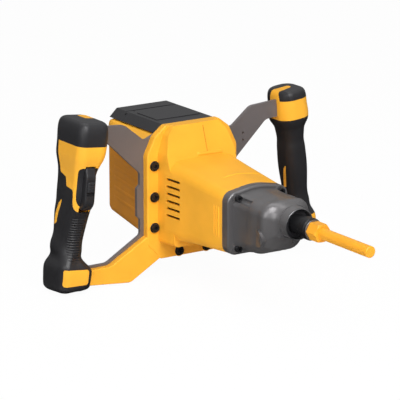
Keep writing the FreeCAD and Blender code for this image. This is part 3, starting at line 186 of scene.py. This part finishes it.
floor_share.inputs[1].default_value = glow_share
floor_links.new(floor_ray.outputs["Is Camera Ray"], floor_share.inputs[0])
floor_links.new(floor_share.outputs[0], floor_mix.inputs["Fac"])
floor_links.new(floor_diffuse.outputs[0], floor_mix.inputs[1])
floor_links.new(floor_glow.outputs[0], floor_mix.inputs[2])
floor_links.new(floor_mix.outputs[0], floor_out.inputs["Surface"])
floor_data.materials.append(floor_paint)
floor.visible_glossy = False

# Frame plate: one laser-cut steel plate, grey coated, that every other piece bolts to.
# Its arms run into the handles, and two small holes take an accessory.
merge_distance = 2e-6
gloss_change = 0.05
rounding_angle = math.radians(28)


def grained_finish(name, colour, roughness, grain=900, bump=0.05, metallic=0.0, mottle=0.06, specular=0.5):
    """Even coloured surface with a fine grain in its bump and a faint change of tone and gloss over it."""
    finish = bpy.data.materials.new(name)
    finish.use_nodes = True
    tree = finish.node_tree
    shader = tree.nodes["Principled BSDF"]
    shader.inputs["Metallic"].default_value = metallic
    shader.inputs["Specular IOR Level"].default_value = specular
    place = tree.nodes.new("ShaderNodeTexCoord")
    patches = tree.nodes.new("ShaderNodeTexNoise")
    patches.inputs["Scale"].default_value = 22
    patches.inputs["Detail"].default_value = 4
    tones = tree.nodes.new("ShaderNodeValToRGB")
    dark, light = tones.color_ramp.elements
    dark.position = 0.3
    dark.color = (*[c * (1 - mottle) for c in colour], 1)
    light.position = 0.7
    light.color = (*[min(1, c * (1 + mottle)) for c in colour], 1)
    gloss = tree.nodes.new("ShaderNodeMapRange")
    gloss.inputs["To Min"].default_value = roughness - gloss_change
    gloss.inputs["To Max"].default_value = roughness + gloss_change
    pores = tree.nodes.new("ShaderNodeTexNoise")
    pores.inputs["Scale"].default_value = grain
    pores.inputs["Detail"].default_value = 2
    relief = tree.nodes.new("ShaderNodeBump")
    relief.inputs["Strength"].default_value = bump
    relief.inputs["Distance"].default_value = 0.001
    tree.links.new(place.outputs["Object"], patches.inputs["Vector"])
    tree.links.new(place.outputs["Object"], pores.inputs["Vector"])
    tree.links.new(patches.outputs["Fac"], tones.inputs["Fac"])
    tree.links.new(patches.outputs["Fac"], gloss.inputs["Value"])
    tree.links.new(tones.outputs["Color"], shader.inputs["Base Color"])
    tree.links.new(gloss.outputs["Result"], shader.inputs["Roughness"])
    tree.links.new(pores.outputs["Fac"], relief.inputs["Height"])
    tree.links.new(relief.outputs["Normal"], shader.inputs["Normal"])
    return finish


def merged_copy(node):
    """Copy of a CAD node whose loose triangles are joined and shaded smooth."""
    shape = bmesh.new()
    shape.from_mesh(nodes[node].data)
    bmesh.ops.remove_doubles(shape, verts=shape.verts, dist=merge_distance)
    for face in shape.faces:
        face.smooth = True
    return shape


def stand_in(node, shape, finish):
    """Piece that is shown in place of a CAD node and on its body."""
    data = bpy.data.meshes.new(node + "_looks")
    shape.to_mesh(data)
    shape.free()
    data.materials.clear()
    data.materials.append(finish)
    piece = bpy.data.objects.new(node + "_looks", data)
    scene.collection.objects.link(piece)
    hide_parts(node)
    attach(piece, nodes[node]["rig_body"])
    return piece


def even_shading(piece):
    """Keeps flat faces flat next to rounded edges."""
    weights = piece.modifiers.new("weights", "WEIGHTED_NORMAL")
    weights.keep_sharp = True


def broken_edges(node, width, finish):
    """Stand-in for a CAD node with its sharp edges rounded."""
    piece = stand_in(node, merged_copy(node), finish)
    rounding = piece.modifiers.new("rounding", "BEVEL")
    rounding.width = width
    rounding.segments = 2
    rounding.limit_method = "ANGLE"
    rounding.angle_limit = rounding_angle
    rounding.miter_outer = "MITER_ARC"
    even_shading(piece)
    return piece


plate_coat = grained_finish("plate_coat", (0.180, 0.160, 0.160), 0.45, grain=700, bump=0.04, metallic=0.35)
broken_edges("frame_plate", 0.0006, plate_coat)

# Front housing: a glass-filled nylon moulding that holds the motor and gears.
# It is bolted through the plate, and its lower wings cover the plate's lower arms.
# Ribs on the neck's sides, a parting bead and two flat strips are moulded on.
yellow_tone = (0.92, 0.44, 0.035)
yellow_moulding = {"roughness": 0.45, "grain": 1300, "bump": 0.025, "specular": 0.2}
yellow_nylon = grained_finish("yellow_nylon", yellow_tone, **yellow_moulding)
broken_edges("front_housing", 0.0012, yellow_nylon)
crease_angle = math.radians(35)
well_outside = 0.2
rib_profile = [(-1, -1), (-1, 0.0), (-0.6, 0.75), (0, 1), (0.6, 0.75), (1, 0.0), (1, -1)]
rib_end_share = 0.15
rib_end_steps = 2


def own_piece(name, shape, finish, carrier):
    """Closed piece of the scene's own; it takes its body from the CAD node that carries it."""
    bmesh.ops.recalc_face_normals(shape, faces=shape.faces)
    for face in shape.faces:
        face.smooth = True
    for edge in shape.edges:
        edge.smooth = edge.calc_face_angle(0) < crease_angle
    data = bpy.data.meshes.new(name)
    shape.to_mesh(data)
    shape.free()
    data.materials.append(finish)
    piece = bpy.data.objects.new(name, data)
    scene.collection.objects.link(piece)
    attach(piece, nodes[carrier]["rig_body"])


def surface_of(data):
    """Search tree of a mesh's skin, for pieces that lie on it."""
    return BVHTree.FromPolygons([v.co for v in data.vertices], [f.vertices for f in data.polygons])


def loft(shape, sections):
    """Adds a closed skin through sections that have the same number of points."""
    rings = []
    for section in sections:
        points = [shape.verts.new(point) for point in section]
        rings.append([shape.edges.new((points[k - 1], points[k])) for k in range(len(points))])
    for near, far in zip(rings, rings[1:]):
        bmesh.ops.bridge_loops(shape, edges=near + far)
    for end in (rings[0], rings[-1]):
        bmesh.ops.edgeloop_fill(shape, edges=end)


def bead(shape, skin, start, end, ray, width, height, count=20):
    """Adds a low rounded rib that lies where rays from the line start to end meet the skin."""
    run = (Vector(end) - Vector(start)).normalized()
    sections = []
    for i in range(count + 1):
        spot, normal = skin.ray_cast(Vector(start).lerp(Vector(end), i / count), Vector(ray))[:2]
        across = normal.cross(run).normalized()
        lift = height * min(1, rib_end_share + min(i, count - i) / rib_end_steps)
        sections.append([spot + across * width / 2 * aside + normal * lift * rise
                         for aside, rise in rib_profile])
    loft(shape, sections)


housing_skin = surface_of(nodes["front_housing"].data)
rib_low, rib_high = -0.036, 0.006
side_ribs = bmesh.new()
for side in (-1, 1):
    for station in (0.1325, 0.1375, 0.1425):
        bead(side_ribs, housing_skin, (side * well_outside, plate_y - station, rib_low),
             (side * well_outside, plate_y - station, rib_high), ray=(-side, 0, 0), width=0.0022, height=0.0012)
own_piece("neck_side_ribs", side_ribs, yellow_nylon, "front_housing")
# The parting bead is coloured a dark amber: painted shade for the thin gap of the mould's seam.
painted_seam_shade = grained_finish("painted_seam_shade", (0.62, 0.24, 0.02), 0.6, grain=1300, bump=0.025, specular=0.1)
parting = bmesh.new()
bead(parting, housing_skin, (0.010, -well_outside, 0.080), (0.010, -well_outside, 0.046), ray=(0, 1, 0),
     width=0.0012, height=0.0004, count=30)
own_piece("parting_bead", parting, painted_seam_shade, "front_housing")
top_strips = bmesh.new()
bead(top_strips, housing_skin, (-0.006, -well_outside, 0.0450), (0.034, -well_outside, 0.0440), ray=(0, 1, 0),
     width=0.0048, height=0.0016, count=30)
bead(top_strips, housing_skin, (-0.022, 0.192, well_outside), (0.036, 0.192, well_outside), ray=(0, 0, -1),
     width=0.0048, height=0.0010, count=30)
own_piece("neck_top_strips", top_strips, yellow_nylon, "front_housing")

# Housing bolts: black socket head screws round the flange, each on a plain turned washer.
# They go through the flange and the plate, with steel nuts behind the lower two.
black_oxide = grained_finish("black_oxide", (0.018, 0.018, 0.020), 0.28, grain=1500, bump=0.02, metallic=0.3)
broken_edges("housing_bolts", 0.0006, black_oxide)


def turned(shape, profile, centre, steps=48):
    """Adds a ring turned round the drill's long axis; the profile gives radius and distance forward."""
    ring = [shape.verts.new((centre[0] + radius, centre[1] - ahead, centre[2])) for radius, ahead in profile]
    edges = [shape.edges.new((ring[i - 1], ring[i])) for i in range(len(ring))]
    bmesh.ops.spin(shape, geom=ring + edges, cent=centre, axis=(0, 1, 0), angle=math.tau, steps=steps,
                   use_merge=True, use_duplicate=False)


def coat(node, finish):
    """Finish of a CAD node that shows as it is."""
    nodes[node].data.materials.clear()
    nodes[node].data.materials.append(finish)


flange_face = plate_y - 0.011
bolt_places = [(x, z) for x in (-0.0607, 0.0607) for z in (0.0320, -0.0103, -0.0522)]
bolt_places += [(x, -0.0894) for x in (-0.0218, 0.0218)]
washer_profile = [(0.0057, -0.0006), (0.0057, 0.0007), (0.0066, 0.0007), (0.0070, 0.0003), (0.0070, -0.0006)]
washers = bmesh.new()
for x, z in bolt_places:
    turned(washers, washer_profile, (x, flange_face, z))
own_piece("bolt_washers", washers, black_oxide, "housing_bolts")
machined_steel = grained_finish("machined_steel", (0.42, 0.42, 0.43), 0.3, grain=1800, bump=0.03, metallic=1.0)
coat("plate_nuts", machined_steel)

# Battery bay: a box of the same nylon behind the plate, coloured a darker amber as painted shade for its sides,
# which turn away from the light.
# The housing bolts hold it, and low ribs run back along its sides.
# Darker amber copy of the yellow nylon: painted shade; the bay's ribs take it too.
painted_shade_bay_nylon = grained_finish("painted_shade_bay_nylon", (0.70, 0.27, 0.018), 0.5, grain=1300, bump=0.025, specular=0.2)
broken_edges("battery_bay", 0.0010, painted_shade_bay_nylon)
bay_skin = surface_of(nodes["battery_bay"].data)
rib_front, rib_rear = 0.318, 0.400
bay_ribs = bmesh.new()
for side in (-1, 1):
    for height in (0.022, 0.008, -0.006, -0.020, -0.034):
        bead(bay_ribs, bay_skin, (side * well_outside, rib_front, height),
             (side * well_outside, rib_rear, height), ray=(-side, 0, 0), width=0.0060, height=0.0007)
own_piece("bay_side_ribs", bay_ribs, painted_shade_bay_nylon, "battery_bay")

# Bay shoulders: the bay's upper edges, moulded with it, broad and rounded.
# They lie close under the lid on both sides and narrow towards the rear, as the bay does.
shoulder_front = plate_y + 0.0053
shoulder_length = 0.1100
half_front = 0.0735
half_taper = 0.0190
proud = 0.0004
corner_front = 0.0640
corner_rise = 0.0060
top_rounding = 0.009
top_rounding_loss = 0.004
side_rounding = Vector((0, -0.009))
hem_top = 0.0480
hem_low = 0.0460
hem_inset = 0.004
lid_edge = Vector((0.0455, 0.0718))
lid_edge_foot = Vector((0.0455, 0.0660))
rear_heart = Vector((0.046, 0.060))
rear_pinch = 0.18
section_count = 18
curve_steps = 6
shoulder_sections = []
for i in range(section_count + 1):
    share = i / section_count
    half = half_front - half_taper * share + proud
    corner = Vector((half, corner_front + corner_rise * share))
    top_run = (lid_edge - corner).normalized() * (top_rounding - top_rounding_loss * share)
    outline = [lid_edge_foot, lid_edge]
    for step in range(curve_steps + 1):
        t = step / curve_steps
        outline.append(corner + top_run * (1 - t) ** 2 + side_rounding * t ** 2)
    outline += [Vector((half, hem_top)), Vector((half - hem_inset, hem_low))]
    if i == section_count:
        outline = [point.lerp(rear_heart, rear_pinch) for point in outline]
    shoulder_sections.append([(p.x, shoulder_front + shoulder_length * share, p.y) for p in outline])
for side, shoulder_name in ((-1, "bay_shoulder_left"), (1, "bay_shoulder_right")):
    shoulder = bmesh.new()
    loft(shoulder, shoulder_sections)
    bmesh.ops.scale(shoulder, verts=shoulder.verts, vec=(side, 1, 1))
    own_piece(shoulder_name, shoulder, yellow_nylon, "battery_bay")

# Battery lid and the fixed hinge cover behind it: black nylon mouldings with a fine grain.
# The lid swings on a steel pin that the cover holds.
black_tone = (0.0200, 0.0197, 0.0220)
black_nylon = grained_finish("black_nylon", black_tone, 0.42, grain=1500, bump=0.06, specular=0.42)
broken_edges("battery_lid", 0.0009, black_nylon)
broken_edges("hinge_cover", 0.0008, black_nylon)
coat("lid_hinge_pin", machined_steel)

# Gear case: a die casting with a satin grey coat, held to the neck by four black screws.
# Its walls swell to a shoulder, draw in towards the nose and end in a bright machined lip.
# Underneath it rises towards the nose, more on the support handle's side than on the other.
case_coat = grained_finish("case_coat", (0.160, 0.155, 0.158), 0.33, grain=900, bump=0.02, metallic=0.55,
                           mottle=0.03)
case = broken_edges("gear_case", 0.0010, case_coat)
case_flange = 0.170
nose_root = 0.2445
nose_setback = 0.0065
setback_run = (0.222, 0.250)
lip_station = 0.2535
bore_radius = 0.0215
body_centre_z = -0.012
longest_edge = 0.004
edge_halvings = 3
shoulder_swell = {"height": 0.0040, "middle": 0.2235, "reach": 0.0080}
all_round_share = 0.15
front_dip = {"height": 0.0012, "middle": 0.2400, "reach": 0.0060}
rear_dip = {"height": 0.0012, "middle": 0.1880, "reach": 0.0070}
under_dip = {"height": 0.0044, "middle": 0.2380, "reach": 0.0100}
nose_taper = 0.0012
taper_start = 0.2400
taper_length = 0.0080
tip_run = (0.246, 0.259)
under_rise = 0.003
under_depth = (0.014, 0.032)
under_run = (0.200, 0.225)
flank_rise = 0.012
flank_draw = 0.005
flank_width = (0.004, 0.018)
flank_run = (0.205, 0.230)
trigger_side_share = 0.2


def bell(value, height, middle, reach):
    """Smooth bump that is highest at the middle and fades out about two reaches from it."""
    return height * math.exp(-((value - middle) / reach) ** 2)


def ramp(value, low, high):
    """Smooth rise from 0 at low to 1 at high."""
    share = min(1, max(0, (value - low) / (high - low)))
    return share * share * (3 - 2 * share)


casting = bmesh.new()
casting.from_mesh(case.data)
for _ in range(edge_halvings):
    long_edges = [edge for edge in casting.edges if edge.calc_length() > longest_edge
                  and all(case_flange < plate_y - vert.co.y < nose_root for vert in edge.verts)]
    bmesh.ops.subdivide_edges(casting, edges=long_edges, cuts=1)
bmesh.ops.triangulate(casting, faces=casting.faces)
for vert in casting.verts:
    station = plate_y - vert.co.y
    vert.co.y += nose_setback * ramp(station, *setback_run)
    if station < case_flange or math.hypot(vert.co.x, vert.co.z) < bore_radius:
        continue
    centre_z = 0 if station > nose_root else body_centre_z
    out = Vector((vert.co.x, 0, vert.co.z - centre_z)).normalized()
    swell = bell(station, **shoulder_swell) * (all_round_share + (1 - all_round_share) * abs(out.x))
    swell -= (bell(station, **front_dip) + bell(station, **rear_dip)) * abs(out.x)
    swell -= bell(station, **under_dip) * max(0, -out.z) ** 2
    tapered = min(1, max(0, (station - taper_start) / taper_length))
    swell -= nose_taper * (tapered + ramp(station, *tip_run))
    low = ramp(-vert.co.z, *under_depth)
    flank = low * ramp(abs(vert.co.x), *flank_width) * ramp(station, *flank_run)
    if vert.co.x < 0:
        flank *= trigger_side_share
    vert.co += out * swell
    vert.co.z += under_rise * low * ramp(station, *under_run) + flank_rise * flank
    vert.co.x -= math.copysign(flank_draw * flank, vert.co.x)
casting.to_mesh(case.data)
casting.free()
lip_profile = [(0.0194, -0.0012), (0.0194, 0.0002), (0.0199, 0.0005), (0.0205, 0.0002), (0.0207, -0.0012)]
lip = bmesh.new()
turned(lip, lip_profile, (0, plate_y - lip_station, 0), steps=96)
own_piece("nose_lip", lip, machined_steel, "gear_case")
broken_edges("gear_case_screws", 0.0005, black_oxide)

# Spindle and paddle shaft: a black steel nose under a turned sleeve, and a yellow coated rod.
# The rod is screwed into the spindle, and its hex collar seats there on a thin grey washer.
sleeve_black = grained_finish("sleeve_black", (0.009, 0.009, 0.010), 0.36, grain=1500, bump=0.02, specular=0.3)
broken_edges("spindle", 0.0005, sleeve_black)
sleeve_station = 0.2838
sleeve_profile = [(0.0124, -0.0145), (0.0140, -0.0145), (0.0144, -0.0135), (0.0144, -0.0030),
                  (0.0136, -0.0022), (0.0136, 0.0), (0.0130, 0.0006), (0.0124, 0.0006)]
sleeve = bmesh.new()
turned(sleeve, sleeve_profile, (0, plate_y - sleeve_station, 0))
own_piece("spindle_sleeve", sleeve, sleeve_black, "spindle")
seat_station = 0.2842
seat_profile = [(0.0110, 0.0), (0.0131, 0.0), (0.0134, 0.0003),
                (0.0134, 0.0006), (0.0131, 0.0009), (0.0110, 0.0009)]
seat_washer = bmesh.new()
turned(seat_washer, seat_profile, (0, plate_y - seat_station, 0))
own_piece("collar_washer", seat_washer, case_coat, "paddle_shaft")
yellow_coat = grained_finish("yellow_coat", (0.90, 0.39, 0.025), 0.38, grain=1500, bump=0.01, specular=0.3)
broken_edges("paddle_shaft", 0.0006, yellow_coat)

# Handles: two nylon shells each, screwed together round the plate's arms, with black rubber moulded over them.
# The front shells are two-colour mouldings: black round the trigger, and black along the support handle's rear.
# A cap closes the head, a rubber bumper the foot, and yellow inlays sit in the grip and the bumper.
handle_x = 0.1755
handle_y = 0.312
handle_lean = math.radians(6.3)
front_right = Vector((0.834, -0.552, 0))


def math_step(tree, operation, first, second):
    """Output of a math node whose inputs are sockets or numbers."""
    step = tree.nodes.new("ShaderNodeMath")
    step.operation = operation
    for socket, value in zip(step.inputs, (first, second)):
        if isinstance(value, (int, float)):
            socket.default_value = value
        else:
            tree.links.new(value, socket)
    return step.outputs[0]


def handle_axes(finish, side):
    """Distances forward, up and outward along a handle, which leans out towards its foot."""
    tree = finish.node_tree
    place = tree.nodes.new("ShaderNodeTexCoord")
    parts = tree.nodes.new("ShaderNodeSeparateXYZ")
    tree.links.new(place.outputs["Object"], parts.inputs[0])
    forward = math_step(tree, "SUBTRACT", handle_y, parts.outputs["Y"])
    outward = math_step(tree, "SUBTRACT", parts.outputs["X"], side * handle_x)
    sunk = math_step(tree, "MULTIPLY", outward, -side * math.sin(handle_lean))
    raised = math_step(tree, "MULTIPLY", parts.outputs["Z"], math.cos(handle_lean))
    apart = math_step(tree, "MULTIPLY", outward, side * math.cos(handle_lean))
    leaned = math_step(tree, "MULTIPLY", parts.outputs["Z"], math.sin(handle_lean))
    return forward, math_step(tree, "ADD", sunk, raised), math_step(tree, "ADD", apart, leaned)


def inside_oval(finish, axes, middle, half):
    """1 inside a rounded patch across two of the handle's axes, 0 outside it."""
    tree = finish.node_tree
    shares = []
    for distance, centre, reach in zip(axes, middle, half):
        share = math_step(tree, "DIVIDE", math_step(tree, "SUBTRACT", distance, centre), reach)
        square = math_step(tree, "MULTIPLY", share, share)
        shares.append(math_step(tree, "MULTIPLY", square, square))
    return math_step(tree, "LESS_THAN", math_step(tree, "ADD", shares[0], shares[1]), 1.0)


def second_colour(finish, mask, colour):
    """Second colour of a two-colour moulding, where the mask is 1."""
    tree = finish.node_tree
    base = tree.nodes["Principled BSDF"].inputs["Base Color"]
    mix = tree.nodes.new("ShaderNodeMix")
    mix.data_type = "RGBA"
    share, first, second = mix.inputs[0], mix.inputs[6], mix.inputs[7]
    second.default_value = (*colour, 1)
    tree.links.new(mask, share)
    tree.links.new(base.links[0].from_socket, first)
    tree.links.new(mix.outputs[2], base)


def reshaped(node, finish, side, form):
    """Stand-in for a handle's CAD node, with its points moved along the handle's own axes."""
    shape = merged_copy(node)
    upright = Matrix.Rotation(side * handle_lean, 3, "Y")
    for vert in shape.verts:
        place = upright @ (vert.co - Vector((side * handle_x, handle_y, 0)))
        vert.co += upright.transposed() @ form(place)
    for edge in shape.edges:
        edge.smooth = edge.calc_face_angle(0) < crease_angle
    piece = stand_in(node, shape, finish)
    even_shading(piece)
    return piece


head_swell = {"height": 0.0032, "middle": 0.046, "reach": 0.011}
grip_swell = {"height": 0.0010, "middle": 0.028, "reach": 0.010}
handle_core = 0.008
bumper_slimming = 0.0050
slimming_begins = (0.048, 0.066)
slimming_ends = (0.080, 0.098)
outer_front = (0.002, 0.018)


def support_form(place):
    """Support handle: rubber thicker just under the head, and a bumper that starts lower at its outer front."""
    depth = -place.z
    thick = bell(place.z, **head_swell) + bell(place.z, **grip_swell)
    around = Vector((place.x, place.y, 0))
    move = around.normalized() * thick if around.length > handle_core else Vector()
    slimmer = bumper_slimming * ramp(depth, *slimming_begins) * (1 - ramp(depth, *slimming_ends))
    return move - front_right * slimmer * ramp(front_right.dot(place), *outer_front)


palm_swell = {"height": 0.0045, "middle": 0.061, "reach": 0.012}
palm_fill = 0.0018
palm_fill_run = (0, 0.020)
palm_ends = (0.066, 0.082)
palm_side = (0, 0.016)
waist_cut = {"height": 0.0040, "middle": 0.076, "reach": 0.007}
finger_side = (0.004, 0.018)
bumper_widening = 0.0035
inner_side = (0.014, 0.022)
bumper_begins = (0.080, 0.092)
bumper_drop = 0.0026
rear_drop = 0.0021
front_to_rear = (-0.022, 0.020)
inner_to_outer = (-0.012, 0.020)
drop_run = (0.085, 0.115)
bumper_half = 0.0226
bumper_half_depth = 0.0287
bumper_bottom = 0.120
bumper_rounding = 0.008
rounding_share = 1 / 3
corner_share = 0.12
corner_run = (0.40, 0.95)
upper_corners = (0.080, 0.094)
lower_corners = (0.106, bumper_bottom)


def trigger_form(place):
    """Trigger handle: palm side fuller, waist lower and sharper, bumper wider, level and round underneath."""
    depth = -place.z
    palm = -front_right.dot(place)
    fuller = bell(depth, **palm_swell) + palm_fill * ramp(depth, *palm_fill_run)
    fuller *= (1 - ramp(depth, *palm_ends)) * ramp(palm, *palm_side)
    waist = bell(depth, **waist_cut) * ramp(-palm, *finger_side)
    move = -front_right * (fuller + waist)
    move.x += bumper_widening * ramp(place.x, *inner_side) * ramp(depth, *bumper_begins)
    level = bumper_drop + rear_drop * ramp(place.y, *front_to_rear)
    level *= ramp(-place.x, *inner_to_outer) * ramp(depth, *drop_run)
    move += Vector((math.sin(handle_lean), 0, -math.cos(handle_lean))) * level
    turn = min(1, max(0, (depth - bumper_bottom + bumper_rounding) / bumper_rounding))
    drawn_in = (1 - math.sqrt(1 - turn * turn)) * rounding_share
    corner = place.x * place.y / (bumper_half * bumper_half_depth)
    drawn_in += corner_share * ramp(corner, *corner_run) * ramp(depth, *upper_corners)
    drawn_in += corner_share * ramp(-corner, *corner_run) * ramp(depth, *lower_corners)
    return move - Vector((place.x, place.y, 0)) * drawn_in


rubber_tone = (0.0180, 0.0176, 0.0198)
moulded_rubber = {"roughness": 0.40, "grain": 1400, "bump": 0.06, "specular": 0.45}
grip_rubber = grained_finish("grip_rubber", rubber_tone, **moulded_rubber)
trigger_well = {"middle": (0.050, 0.020), "half": (0.0198, 0.0300)}
finger_lip = {"middle": (0.052, 0.004), "half": (0.026, 0.018)}
trigger_grip = grained_finish("trigger_grip", rubber_tone, **moulded_rubber)
grip_axes = handle_axes(trigger_grip, -1)
second_colour(trigger_grip, inside_oval(trigger_grip, grip_axes, **finger_lip), yellow_tone)
second_colour(trigger_grip, inside_oval(trigger_grip, grip_axes, **trigger_well), black_tone)
trigger_shell = grained_finish("trigger_shell", yellow_tone, **yellow_moulding)
shell_axes = handle_axes(trigger_shell, -1)
second_colour(trigger_shell, inside_oval(trigger_shell, shell_axes, **trigger_well), black_tone)
rear_rim = -0.0065
thumb_pad = {"middle": (0.004, 0.0190), "half": (0.0260, 0.0120)}
pad_foot = 0.0950
support_shell = grained_finish("support_shell", yellow_tone, **yellow_moulding)
forward, upward, outward = handle_axes(support_shell, 1)
second_colour(support_shell, math_step(support_shell.node_tree, "LESS_THAN", forward, rear_rim), black_tone)
pad_across = inside_oval(support_shell, (outward, forward), **thumb_pad)
pad_high = math_step(support_shell.node_tree, "GREATER_THAN", upward, pad_foot)
second_colour(support_shell, math_step(support_shell.node_tree, "MULTIPLY", pad_across, pad_high), black_tone)
handle_pieces = {}
for handle, side, form, shell, grip in (("trigger_handle", -1, trigger_form, trigger_shell, trigger_grip),
                                        ("support_handle", 1, support_form, support_shell, grip_rubber)):
    for member, finish in (("_front_shell", shell), ("_rear_shell", black_nylon), ("_grip", grip),
                           ("_grip_inlays", yellow_nylon), ("_foot", grip_rubber),
                           ("_foot_inlay", yellow_nylon)):
        handle_pieces[handle + member] = reshaped(handle + member, finish, side, form)
    coat(handle + "_cap", black_nylon)
coat("trigger_handle_cap_inlay", yellow_nylon)
grip_skin = surface_of(handle_pieces["trigger_handle_grip"].data)
grip_lean = Matrix.Rotation(handle_lean, 3, "Y")
grip_middle = Vector((-handle_x, handle_y, 0))
rib_count = 17
first_rib = -0.0220
rib_pitch = 0.0034
rib_ends = (-0.0120, 0.0095)
ahead_of_grip = -0.1
grip_ribs = bmesh.new()
for rib in range(rib_count):
    start, end = [grip_lean @ Vector((x, ahead_of_grip, first_rib - rib_pitch * rib)) + grip_middle
                  for x in rib_ends]
    bead(grip_ribs, grip_skin, start, end, ray=(0, 1, 0), width=0.0024, height=0.0006, count=16)
own_piece("trigger_grip_ribs", grip_ribs, grip_rubber, "trigger_handle_grip")

# Trigger and its lock slider: black nylon mouldings, the slider a little lighter.
# The trigger rocks on a steel pin in its handle, and the slider runs in the trigger's face.
broken_edges("trigger", 0.0008, black_nylon)
lock_nylon = grained_finish("lock_nylon", (0.026, 0.026, 0.029), 0.40, grain=1500, bump=0.05, specular=0.3)
broken_edges("trigger_lock", 0.0005, lock_nylon)

# Inside: motor, gears, bearings, battery and controller, seen only with the housings off.
# Each shows its plain material: machined or blackened steel, bare aluminium, copper, rubber or black nylon.
bare_aluminium = grained_finish("bare_aluminium", (0.55, 0.55, 0.57), 0.35, grain=500, bump=0.05, metallic=1.0)
wound_copper = grained_finish("wound_copper", (0.52, 0.20, 0.07), 0.38, grain=1200, bump=0.3, metallic=0.9)
inside_finishes = {
    machined_steel: ["stator_core", "rotor_shaft", "rotor_core", "layshaft", "first_stage_gear", "output_gear",
                     "output_gear_key", "retaining_ring", "rotor_rear_bearing", "rotor_front_bearing",
                     "layshaft_rear_bearing", "layshaft_front_bearing", "spindle_rear_bearing",
                     "spindle_front_bearing", "trigger_pin"],
    bare_aluminium: ["gear_plate", "motor_rear_bracket", "motor_sleeve", "motor_front_bracket", "controller"],
    black_nylon: ["battery_pack", "terminal_block", "cooling_fan", "switch_module"],
    black_oxide: ["handle_screws"],
    grip_rubber: ["spindle_seal"],
    wound_copper: ["stator_windings"],
}
for finish, members in inside_finishes.items():
    for member in members:
        coat(member, finish)
